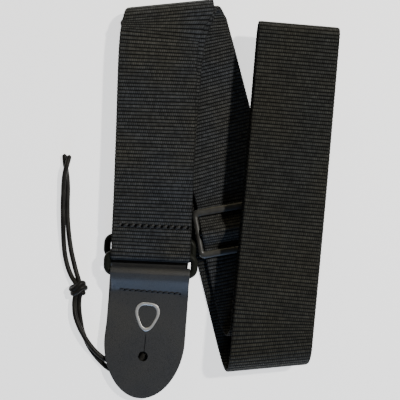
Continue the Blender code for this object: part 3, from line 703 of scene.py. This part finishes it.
def fold_rows(start, end, fold_angle, outward):
    """Rows of a half cylinder between two strands' rows; outward is +1 towards +Y, -1 towards -Y."""
    angle = radians(fold_angle)
    normal = Vector((-sin(angle), cos(angle), 0.0)) * outward
    radius = abs(start[0].z - end[0].z) / 2
    rows = []
    for k in range(1, FOLD_STEPS):
        turn = pi * k / FOLD_STEPS
        row = []
        for a, b in zip(start, end):
            flat = a.lerp(b, k / FOLD_STEPS)
            middle = (a.z + b.z) / 2
            flat.z = middle + (a.z - middle) * cos(turn)
            row.append(flat + normal * radius * sin(turn))
        rows.append(tuple(row))
    return rows


def level_axes(lean):
    """Directions across and down in plan, for what leans by an angle in radians."""
    return Vector((cos(lean), -sin(lean), 0.0)), Vector((-sin(lean), -cos(lean), 0.0))


def bar_frame(hang, distance):
    """Centre, across and down at a distance from a bar.

    hang is the bar's centre, its lean in degrees, and the lean to which what hangs there turns.
    """
    bar, lean, turned = hang
    across, down = level_axes(radians(lean))
    turn = radians(turned - lean)
    drift = 0.0
    for k in range(BEND_STEPS):
        place = distance * (k + 0.5) / BEND_STEPS
        drift += tan(turn * smooth((place - TURN_START) / TURN_SPAN)) * distance / BEND_STEPS
    centre = bar + PLAN_SHIFT + down * distance - across * drift
    local = radians(lean) + turn * smooth((distance - TURN_START) / TURN_SPAN)
    return centre, *level_axes(local)


def ring_rows(hang, width, side_profile):
    """Rows (west, east) of a piece that wraps a bar, from (distance, height) pairs."""
    rows = []
    for distance, z in side_profile:
        centre, across, _ = bar_frame(hang, distance)
        centre.z = z
        half = width(distance) / 2
        rows.append((centre - across * half, centre + across * half))
    return rows


def arc_profile(radius, z, start_deg, end_deg, steps):
    """(distance, height) pairs round a bar; 0 degrees points down the strap, 90 points up from it."""
    turns = [radians(start_deg + (end_deg - start_deg) * k / steps) for k in range(steps + 1)]
    return [(radius * cos(turn), z + radius * sin(turn)) for turn in turns]


def in_metres(pairs):
    """The same pairs, in metres."""
    return [(a * MM, b * MM) for a, b in pairs]


def slider_axes():
    """The slider's centre, and the directions across and down its strand."""
    return SLIDER_CENTRE + PLAN_SHIFT, *level_axes(-radians(SLIDER_LEAN))


def slider_row(distance, z):
    """A row (west, east) square to the slider's strand, at a distance down from its centre."""
    centre, across, down = slider_axes()
    point = centre + down * distance
    point.z = z
    return (point - across * WEB_WIDTH / 2, point + across * WEB_WIDTH / 2)


def split_at_slider(rows, reach):
    """A strand's rows below and above the slider, further than a reach from its centre."""
    centre, _, down = slider_axes()
    clear = 0.4 * ROW_STEP

    def place(row):
        return ((row[0] + row[1]) / 2 - centre).dot(down)

    below = [row for row in rows if place(row) > reach + clear]
    above = [row for row in rows if place(row) < -reach - clear]
    return below, above


def hump_rows():
    """The strand's rows where it rises over the slider's middle bar."""
    rows = []
    for k in range(HUMP_STEPS + 1):
        distance = HUMP_REACH * (1 - 2 * k / HUMP_STEPS)
        rise = HUMP_RISE * 0.5 * (1 + cos(pi * distance / HUMP_HALF)) if abs(distance) < HUMP_HALF else 0.0
        rows.append(slider_row(distance, Z_RUN + rise))
    return rows


def tail_rows():
    """The rows of the end that comes up to the slider and wraps its middle bar."""
    radius = SLIDER_MID_BAR / 2 + GAP + WEB_THICK / 2
    knots = [(TAIL_START, Z_RETURN / MM), TAIL_LEVEL] + TAIL_APPROACH
    around = arc_profile(radius, SLIDER_CENTRE.z, *TAIL_WRAP, TAIL_WRAP_STEPS)
    return [slider_row(distance, z) for distance, z in in_metres(knots) + around]


def band_path():
    """Every row of the band in order, from the sewn end at the front ring to the slider's tail.

    Also gives the number of the row where each stretch begins.
    """
    def flat(z):
        return lambda t: z

    def slope(z_start, z_end):
        return lambda t: z_start + (z_end - z_start) * t ** BACK_DROP_POWER

    def web(distance):
        return LOOP_WIDTH

    front = strand_rows(FRONT_LINE, flat(Z_FRONT), last_fold=TOP_FOLD)
    lower = strand_rows(LOWER_LINE, flat(Z_LOWER), TOP_FOLD, BOTTOM_FOLD)
    outer = strand_rows(OUTER_LINE, flat(Z_OUTER), BOTTOM_FOLD, MIDDLE_FOLD)
    inner = strand_rows(INNER_LINE, flat(Z_INNER), MIDDLE_FOLD, INNER_BOTTOM_FOLD)
    back_z = BACK_RING_BAR.z
    back_run = strand_rows(BACK_LINE, slope(Z_BACK_RUN, back_z - LOOP_RADIUS), INNER_TOP_FOLD)
    back_return = strand_rows(BACK_LINE, slope(Z_BACK_RETURN, back_z + LOOP_RADIUS), INNER_TOP_FOLD)
    back_return.reverse()
    run = strand_rows(RUN_LINE, flat(Z_RUN), INNER_BOTTOM_FOLD, INNER_TOP_FOLD)
    run_below, run_above = split_at_slider(run, HUMP_REACH)
    full_return = strand_rows(RUN_LINE, flat(Z_RETURN), INNER_BOTTOM_FOLD, INNER_TOP_FOLD)
    return_above = split_at_slider(full_return, -TAIL_START * MM)[1]
    return_above.reverse()

    tuck = in_metres(FRONT_TUCK_WEB)
    around = arc_profile(LOOP_RADIUS, FRONT_RING_BAR.z, *FRONT_LOOP_WRAP, FOLD_STEPS)
    front_loop = ring_rows((FRONT_RING_BAR, FRONT_RING_LEAN, FRONT_RING_LEAN), web, tuck + around)
    around = arc_profile(LOOP_RADIUS, back_z, *BACK_LOOP_WRAP, FOLD_STEPS)
    back_loop = ring_rows((BACK_RING_BAR, BACK_RING_LEAN, BACK_RING_LEAN), web, around)

    stretches = {
        "front": front_loop + front[1:],
        "top_fold": fold_rows(front[-1], lower[0], TOP_FOLD, 1),
        "lower": lower,
        "bottom_fold": fold_rows(lower[-1], outer[0], BOTTOM_FOLD, -1),
        "outer": outer,
        "middle_fold": fold_rows(outer[-1], inner[0], MIDDLE_FOLD, 1),
        "inner": inner,
        "inner_fold": fold_rows(inner[-1], run[0], INNER_BOTTOM_FOLD, -1),
        "run_below": run_below,
        "hump": hump_rows(),
        "run_above": run_above,
        "run_fold": fold_rows(run[-1], back_run[0], INNER_TOP_FOLD, 1),
        "back": back_run[:-1] + back_loop + back_return[1:],
        "return_fold": fold_rows(back_return[-1], full_return[-1], INNER_TOP_FOLD, 1),
        "return_above": return_above,
        "tail": tail_rows(),
    }
    rows, marks = [], {}
    for mark, more in stretches.items():
        marks[mark] = len(rows)
        rows += more
    return rows, marks


# ---------------- webbing

ROWS_PER_RIB = 6
RIB_DEPTH = 0.30 * MM
RIB_POWER = 2.4
# The band's section: shares of its width, and how full its thickness is there
COLUMNS = np.array(
    [0.0, 0.006, 0.018, 0.045, 0.12, 0.25, 0.38, 0.5, 0.62, 0.75, 0.88, 0.955, 0.982, 0.994, 1.0])
CROWN = np.array([0.30, 0.66, 0.90] + 9 * [1.0] + [0.90, 0.66, 0.30])
EDGE_SCALLOP = 0.22 * MM
# How much a seam flattens the ribs
SEAM_FLATTEN = 0.7
# How far the front half goes down the lower strand, and the shoulder half round the inner bottom fold
FRONT_HALF_PAST = 40 * MM
SHOULDER_HALF_PAST = 4 * MM
# Where the strands next to the slider begin to follow it, and how far down and up from it they stay put
FOLLOW_CLEAR = 2 * MM
STRETCH_BELOW = 58 * MM
STRETCH_ABOVE = 118 * MM


class Band:
    """The whole band as a surface: a point for each distance along it and share of its width."""

    def __init__(self, rows):
        self.west = np.array([row[0] for row in rows])
        self.east = np.array([row[1] for row in rows])
        self.length = cumulative((self.west + self.east) / 2)

    def points(self, distances, share):
        """Points at these distances along the band, at one share of its width."""
        line = self.west + (self.east - self.west) * share
        return np.stack([np.interp(distances, self.length, line[:, k]) for k in range(3)], axis=1)


def rib_profile(phase):
    """Height of the ribs' outline, from 0 in a groove to 1 on a crown."""
    x = np.abs(phase - np.floor(phase) - 0.5) * 2
    return np.sqrt(np.clip(1 - x ** RIB_POWER, 0.0, 1.0))


def web_piece(name, band, start, end, seam, material):
    """A closed stretch of the band with raised ribs on both faces and scalloped edges.

    At the seam the ribs are pressed flat, the faces are drawn in and the edges nicked.
    """
    first = int(round(start / RIB_PITCH * ROWS_PER_RIB))
    last = int(round(end / RIB_PITCH * ROWS_PER_RIB))
    distances = np.arange(first, last + 1) * RIB_PITCH / ROWS_PER_RIB
    ribs = rib_profile(distances / RIB_PITCH)
    pull = np.exp(-((distances - seam) / SEAM_REACH) ** 2)
    depth = RIB_DEPTH * (1 - ribs) * (1 - SEAM_FLATTEN * pull) + SEAM_PULL * pull
    surface = np.stack([band.points(distances, share) for share in COLUMNS], axis=1)
    along = np.gradient(surface, axis=0)
    across = np.gradient(surface, axis=1)
    normal = np.cross(along, across)
    normal /= np.linalg.norm(normal, axis=2, keepdims=True)
    across /= np.linalg.norm(across, axis=2, keepdims=True)
    half = (WEB_THICK / 2 - depth)[:, None] * CROWN
    inset = (COLUMNS - 0.5) * 2 * (EDGE_SCALLOP * (1 - ribs) + SEAM_NICK * pull)[:, None]
    surface = surface - across * inset[:, :, None]
    upper = surface + normal * half[:, :, None]
    lower = surface - normal * half[:, :, None]
    grid = np.concatenate([upper, lower[:, ::-1]], axis=1)
    round_width = np.concatenate([COLUMNS, COLUMNS[::-1]]) * WEB_WIDTH
    uv = np.stack(np.broadcast_arrays(round_width, distances[:, None]), axis=-1)
    return closed_tube(name, grid, uv, material, 0.0)


def make_webbing():
    """The band in eight pieces, in order: on the strap, next to the slider and on it."""
    rows, marks = band_path()
    band = Band(rows)
    at = {mark: band.length[row] for mark, row in marks.items()}
    plain = webbing_material("webbing_weave", (0.034, 0.037, 0.041), (0.040, 0.039, 0.033))
    # Painted shade: the shoulder half gets a darker copy of the weave, for the weaker light on it.
    shoulder = webbing_material("webbing_weave_painted_shade", (0.025, 0.026, 0.024), (0.029, 0.028, 0.022))
    seam_centre = np.array(seam_frame()[0])
    seam = band.length[np.argmin(np.linalg.norm(band.west / 2 + band.east / 2 - seam_centre, axis=1))]
    front_end = at["lower"] + FRONT_HALF_PAST
    shoulder_end = at["inner_fold"] + SHOULDER_HALF_PAST
    near = HUMP_REACH + FOLLOW_CLEAR
    # Name, start, end, weave, the body it rides or between which distances it stretches, nodes
    stretches = (
        ("front_half", 0.0, front_end, plain, "strap", ("front_loop", "front_strand", "top_fold_outer")),
        ("shoulder_half", front_end, shoulder_end, shoulder, "strap",
         ("lower_strand", "bottom_fold_outer", "shoulder_outer", "middle_fold", "shoulder_inner")),
        ("back_half", at["run_fold"], at["return_above"], plain, "strap",
         ("top_fold_run", "back_run", "back_loop", "back_return", "top_fold_return")),
        ("run_below_slider", shoulder_end, at["hump"], plain, (near, STRETCH_BELOW),
         ("run_lower", "bottom_fold_inner")),
        ("over_slider", at["hump"], at["run_above"], plain, "slider", ("slider_hump",)),
        ("run_above_slider", at["run_above"], at["run_fold"], plain, (-near, -STRETCH_ABOVE),
         ("run_strand",)),
        ("return_to_slider", at["return_above"], at["tail"], plain, (TAIL_START * MM, -STRETCH_ABOVE),
         ("return_strand",)),
        ("slider_end", at["tail"], band.length[-1], plain, "slider", ("slider_tail",)),
    )
    for name, start, end, weave, follows, nodes in stretches:
        piece = web_piece("webbing_" + name, band, start, end, seam, weave)
        if isinstance(follows, str):
            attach(piece, follows)
        else:
            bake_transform(piece)
        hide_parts(*["webbing_" + node for node in nodes])


# ---------------- lace

def make_laces():
    """The lace's two halves; gives their material."""
    material = lace_material()
    for side, route in (("left", LACE_LEFT), ("right", LACE_RIGHT)):
        path = [tuple(p) for p in even_curve([plan_point(x, y, z * MM) for x, y, z in route], LACE_STEP)]
        lace = round_cord(f"lace_{side}", path, LACE_D / 2, material, LACE_SIDES)
        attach(lace, "leather_back")
        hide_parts(f"lace_lower_{side}", f"lace_upper_{side}")
    return material


def make_knot(material):
    """An overhand knot drawn tight: the doubled cord winds round itself and comes out between its turns."""
    centre = KNOT_CENTRE + PLAN_SHIFT
    path = []
    for k in range(KNOT_STEPS + 1):
        share = k / KNOT_STEPS
        turn = 2 * pi * KNOT_TURNS * share + KNOT_START
        shrink = 1 - KNOT_SHRINK * abs(2 * share - 1) ** 3
        x = KNOT_REACH.x * shrink * cos(turn)
        y = KNOT_REACH.y * (1 - 2 * share) + KNOT_WAVE * sin(2 * turn)
        z = KNOT_REACH.z * shrink * sin(turn)
        path.append(centre + Matrix.Rotation(radians(KNOT_TILT), 3, "Z") @ Vector((x, y, z)))
    knot = round_cord("lace_knot_turns", path, KNOT_CORD_D / 2, material, LACE_SIDES)
    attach(knot, "leather_back")
    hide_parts("lace_knot")


# ---------------- leather ends

def lower_bar(bar, lean, drop):
    """Centre of a ring's lower bar."""
    reach = RING_PITCH * cos(radians(drop))
    fall = RING_PITCH * sin(radians(drop))
    return bar + Vector((-sin(radians(lean)) * reach, -cos(radians(lean)) * reach, -fall))


def leather_width(distance):
    """Sides pressed wider in the loop, widening again from the ring, then a long round tip."""
    if distance <= LEATHER_SIDE:
        widened = min(max(distance / LEATHER_SIDE, 0.0), 1.0)
        pressed = LOOP_FLARE * (1 - smooth(distance / FLARE_REACH))
        return LEATHER_TOP_WIDTH + (LEATHER_WIDTH - LEATHER_TOP_WIDTH) * widened + pressed
    share = min((distance - LEATHER_SIDE) / (LEATHER_LENGTH - LEATHER_SIDE), 1.0)
    return LEATHER_WIDTH * sqrt(max(1 - share ** TIP_POWER, TIP_FLAT))


def height_on(profile, distance):
    """A side profile's height at a distance."""
    return float(np.interp(distance, [p[0] for p in profile], [p[1] for p in profile]))


def face_profile(heights, bar_z):
    """The face layer's side profile from the bar's top to the tip."""
    knots = [Vector((0.0, bar_z + LEATHER_LOOP))] + [Vector(pair) for pair in in_metres(heights)]
    knots[-1].x = LEATHER_LENGTH
    profile = [(point.x, point.y) for point in dense_curve(knots, per_span=16)[1:]]
    straight = [pair for pair in profile if pair[0] < LEATHER_SIDE]
    tip = []
    for k in range(TIP_STEPS + 1):
        distance = LEATHER_SIDE + (LEATHER_LENGTH - LEATHER_SIDE) * sin(pi / 2 * k / TIP_STEPS)
        tip.append((distance, height_on(profile, distance)))
    return straight + tip


def leather_body(name, hang, face, tuck, material):
    """The tucked layer, the wrap and the face layer as one body with rounded edges and a seam groove."""
    start = dense_curve([Vector(pair) for pair in in_metres(tuck)], per_span=10)
    around = arc_profile(LEATHER_LOOP, hang[0].z, *LEATHER_WRAP, LEATHER_WRAP_STEPS)
    profile = [(p.x, p.y) for p in start] + around + face_profile(face, hang[0].z)
    rows = ring_rows(hang, leather_width, profile)
    west = np.array([row[0] for row in rows])
    east = np.array([row[1] for row in rows])
    share = 0.5 - 0.5 * np.cos(np.linspace(0.0, pi, LEATHER_COLUMNS))
    surface = west[:, None] + (east - west)[:, None] * share[None, :, None]
    width = np.linalg.norm(east - west, axis=1)
    normal = np.cross(np.gradient((west + east) / 2, axis=0), (east - west) / width[:, None])
    normal /= np.linalg.norm(normal, axis=1, keepdims=True)
    side = np.minimum(share[None, :], 1 - share[None, :]) * width[:, None]
    place = cumulative((west + east) / 2)
    edge = np.minimum(np.minimum(side, (place[-1] - place)[:, None]), place[:, None])
    fall = np.clip(edge / LEATHER_ROUND, 0.0, 1.0)
    half = LEATHER_THICK / 2 - LEATHER_ROUND * (1 - np.sqrt(np.clip(1 - (1 - fall) ** 2, 0.0, 1.0)))
    distance = np.array([pair[0] for pair in profile])
    on_face = distance > 0
    on_face[:len(start) + 1] = False
    seam = np.exp(-((distance - LEATHER_SEAM_AT) / SEAM_REACH) ** 2) * on_face
    pressed = LEATHER_PRESS * seam[:, None] * np.clip((edge - GROOVE_MARGIN) / GROOVE_FADE, 0.0, 1.0)
    face_side = np.sign(normal[-1, 2])
    shown = surface + face_side * normal[:, None] * (half - pressed)[:, :, None]
    hidden = surface - face_side * normal[:, None] * half[:, :, None]
    grid = np.concatenate([shown, hidden[:, ::-1]], axis=1)
    uv = np.zeros((*grid.shape[:2], 2))
    return closed_tube(name, grid, uv, material, 0.0)


def make_leather(side, hang, face, tuck, material):
    """One end, hung on its ring's lower bar, with a button hole and its slit cut through the face."""
    leather = leather_body(f"leather_{side}", hang, face, tuck, material)
    hole, _, down = bar_frame(hang, BUTTON_HOLE_AT)
    hole.z = height_on(face_profile(face, hang[0].z), BUTTON_HOLE_AT)
    bpy.ops.mesh.primitive_cylinder_add(vertices=64, radius=BUTTON_HOLE_D / 2, depth=CUT_DEPTH)
    punch = bpy.context.object
    punch.location = hole
    bpy.ops.mesh.primitive_cube_add(size=1.0)
    blade = bpy.context.object
    blade.scale = (SLIT_CUT, SLIT_LENGTH, CUT_DEPTH)
    blade.rotation_euler = (0.0, radians(SLIT_TILT), -radians(hang[2]))
    blade.location = hole - down * (BUTTON_HOLE_D / 2 + SLIT_LENGTH / 2 - SLIT_OVERLAP)
    for cutter in (punch, blade):
        combine(leather, cutter, "DIFFERENCE")
    leather.data.set_sharp_from_angle(angle=radians(LEATHER_SHARP))
    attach(leather, f"leather_{side}")
    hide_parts(f"leather_end_{side}")


# ---------------- rings and slider

def rounded_rectangle(width, height, corner, steps):
    """Points of a rectangle with round corners; steps is for each corner."""
    points = []
    for sx, sy, start in ((1, 1, 0), (-1, 1, 90), (-1, -1, 180), (1, -1, 270)):
        for k in range(steps + 1):
            turn = radians(start + 90 * k / steps)
            x = sx * (width / 2 - corner) + corner * cos(turn)
            y = sy * (height / 2 - corner) + corner * sin(turn)
            points.append((x, y))
    return points


def make_ring(side, bar, lean, drop, material):
    """Smooth wire: a rectangle with round corners, its upper bar on the hinge's axis."""
    outline = rounded_rectangle(RING_INSIDE + WIRE_D, RING_PITCH, RING_CORNER, RING_CORNER_STEPS)
    turn = Matrix.Rotation(-radians(lean), 4, "Z") @ Matrix.Rotation(radians(drop), 4, "X")
    path = [bar + PLAN_SHIFT + turn @ Vector((x, y - RING_PITCH / 2, 0.0)) for x, y in outline]
    curve = bpy.data.curves.new(f"wire_ring_{side}", "CURVE")
    curve.dimensions = "3D"
    curve.bevel_depth = WIRE_D / 2
    curve.bevel_resolution = 8
    spline = curve.splines.new("POLY")
    spline.points.add(len(path) - 1)
    for place, point in zip(spline.points, path):
        place.co = (*point, 1.0)
    spline.use_cyclic_u = True
    spline.use_smooth = True
    curve.materials.append(material)
    ring = add_object(f"wire_ring_{side}", curve)
    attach(ring, f"ring_{side}")
    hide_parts(f"ring_{side}")


def make_slider(material):
    """One moulding: a frame with an oval section, merged with its middle bar."""
    opening = SLIDER_HEIGHT - 2 * SLIDER_BAR
    outer = rounded_rectangle(SLIDER_LENGTH, SLIDER_HEIGHT, SLIDER_CORNER, SLIDER_CORNER_STEPS)
    inner = rounded_rectangle(SLIDER_INSIDE, opening, SLIDER_INSIDE_CORNER, SLIDER_CORNER_STEPS)
    points = []
    for (ax, ay), (bx, by) in zip(outer, inner):
        for k in range(SECTION_STEPS):
            turn = 2 * pi * k / SECTION_STEPS
            share = 0.5 - 0.5 * cos(turn)
            points.append((ax + (bx - ax) * share, ay + (by - ay) * share, SLIDER_THICK / 2 * sin(turn)))
    faces = ring_faces(len(outer), SECTION_STEPS)
    slider = mesh_object("slider_moulding", points, faces, None, material)
    bar_length = (SLIDER_INSIDE + SLIDER_LENGTH) / 2
    bpy.ops.mesh.primitive_cylinder_add(vertices=40, radius=SLIDER_MID_BAR / 2, depth=bar_length)
    bar = bpy.context.object
    bar.data.transform(Matrix.Rotation(pi / 2, 4, "Y"))
    combine(slider, bar, "UNION")
    slider.data.transform(Matrix.Rotation(radians(SLIDER_LEAN), 4, "Z"))
    slider.data.transform(Matrix.Translation(SLIDER_CENTRE + PLAN_SHIFT))
    slider.data.set_sharp_from_angle(angle=radians(SLIDER_SHARP))
    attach(slider, "slider")
    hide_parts("slider_frame")


# ---------------- seams and emblem

def seam_frame():
    """Centre and across of the webbing's seam, on the front strand's mid-thickness."""
    across, down = level_axes(radians(FRONT_RING_LEAN))
    centre = FRONT_RING_BAR + PLAN_SHIFT - down * WEB_SEAM_AT
    centre.z = Z_FRONT
    return centre, across


def painted_hole_shadow(name, place, turned, height, material):
    """A painted shadow where the thread goes in: a flat near-black oval, set in the surface, standing in for
    a needle hole.
    """
    bpy.ops.mesh.primitive_uv_sphere_add(segments=20, ring_count=10, radius=1.0)
    hole = bpy.context.object
    hole.name = name
    hole.data.transform(Matrix.Diagonal((HOLE_LENGTH / 2, HOLE_WIDTH / 2, HOLE_DEPTH, 1.0)))
    hole.data.transform(Matrix.Rotation(atan2(turned.y, turned.x), 4, "Z"))
    hole.data.transform(Matrix.Translation((place.x, place.y, height)))
    hole.data.materials.append(material)
    hole.data.shade_smooth()
    return hole


def stitch_row(name, body, node, frame_at, span, count, stitch, surface, thread, dark):
    """A sewn row: each thread stands over the surface and dives into it at both ends, with a painted shadow
    for a needle hole by each stitch.

    frame_at is the row's centre and across; surface gives the height of the sewn face at a point.
    """
    centre, across = frame_at
    length, radius, slant = stitch
    turned = Matrix.Rotation(slant, 3, "Z") @ across
    threads, holes = [], []
    for k in range(count):
        middle = centre + across * (((k + 0.5) / count - 0.5) * span)
        path = []
        for t in np.linspace(-1.0, 1.0, STITCH_POINTS):
            spot = middle + turned * (t * length / 2)
            spot.z = surface(spot) + radius * (STITCH_RISE - STITCH_DIVE * t ** 4)
            path.append(spot)
        threads.append(round_cord(f"{name}_{k}", path, radius, thread, THREAD_SIDES))
        pit = middle + across * (span / count / 2)
        holes.append(painted_hole_shadow(f"{name}_hole_{k}", pit, turned, surface(pit), dark))
    for piece_name, pieces in ((name, threads), (name + "_holes", holes)):
        seam = join_pieces(piece_name, pieces)
        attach(seam, body)
        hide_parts(node)


def make_seams(ends):
    """The webbing's seam and one seam in each leather end, as single stitches with painted shadows for
    needle holes.
    """
    dark = hole_shadow_material()
    black = thread_material("sewing_thread", (0.007, 0.007, 0.007), 0.9 * MM, 0.05 * MM)
    grey = thread_material("heavy_thread", (0.024, 0.024, 0.023), 1.3 * MM, 0.08 * MM)
    top = Z_FRONT + WEB_THICK / 2 - SEAM_PULL
    stitch_row("stitches_webbing", "strap", "webbing_seam_thread", seam_frame(), WEB_SEAM_SPAN, WEB_STITCHES,
               WEB_STITCH, lambda spot: top, grey, dark)
    for side, hang, face, _ in ends:
        profile = face_profile(face, hang[0].z)
        centre, across, down = bar_frame(hang, LEATHER_SEAM_AT)

        def surface(spot, centre=centre, down=down, profile=profile):
            distance = LEATHER_SEAM_AT + (spot - centre).to_2d().dot(down.to_2d())
            return height_on(profile, distance) + LEATHER_THICK / 2 - LEATHER_PRESS

        stitch_row(f"stitches_leather_{side}", f"leather_{side}", f"leather_seam_{side}", (centre, across),
                   LEATHER_SEAM_SPAN, LEATHER_STITCHES, LEATHER_STITCH, surface, black, dark)


def plectrum_point(width, height, turn):
    """A point of a rounded triangle, point down, at a turn round its centre."""
    bulge = 1 + EMBLEM_BULGE * cos(3 * (turn + pi / 2))
    return width / 2 * bulge * cos(turn), height / 2 * bulge * sin(turn)


def make_emblem(hang, face, material):
    """A foil line round a plectrum's outline, pressed on the leather and following its slope."""
    profile = face_profile(face, hang[0].z)
    points = []
    for k in range(EMBLEM_STEPS):
        for share, rise in EMBLEM_SECTION:
            inset = 2 * EMBLEM_STROKE * share
            x, y = plectrum_point(EMBLEM_WIDTH - inset, EMBLEM_HEIGHT - inset, 2 * pi * k / EMBLEM_STEPS)
            distance = EMBLEM_AT - y
            centre, across, _ = bar_frame(hang, distance)
            point = centre + across * x
            point.z = height_on(profile, distance) + LEATHER_THICK / 2 + rise * MM
            points.append(point)
    faces = ring_faces(EMBLEM_STEPS, len(EMBLEM_SECTION))
    emblem = mesh_object("emblem_plectrum", points, faces, None, material)
    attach(emblem, "leather_front")
    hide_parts("emblem_foil")


def main():
    make_camera()
    lace = make_laces()
    make_knot(lace)
    make_stage()
    make_webbing()
    front_bar = lower_bar(FRONT_RING_BAR, FRONT_RING_LEAN, FRONT_RING_DROP)
    back_bar = lower_bar(BACK_RING_BAR, BACK_RING_LEAN, 0.0)
    ends = (
        ("front", (front_bar, FRONT_RING_LEAN, FRONT_LEATHER_LEAN), FRONT_FACE, FRONT_TUCK),
        ("back", (back_bar, BACK_RING_LEAN, BACK_LEATHER_LEAN), BACK_FACE, BACK_TUCK),
    )
    leather = leather_material()
    for end in ends:
        make_leather(*end, leather)
    enamel = gloss_material("ring_enamel", (0.012, 0.013, 0.010), 0.42, 0.07)
    make_ring("front", FRONT_RING_BAR, FRONT_RING_LEAN, FRONT_RING_DROP, enamel)
    make_ring("back", BACK_RING_BAR, BACK_RING_LEAN, 0.0, enamel)
    make_slider(gloss_material("slider_plastic", (0.036, 0.035, 0.031), 0.36, 0.46))
    make_seams(ends)
    make_emblem(ends[0][1], FRONT_FACE, foil_material())


main()
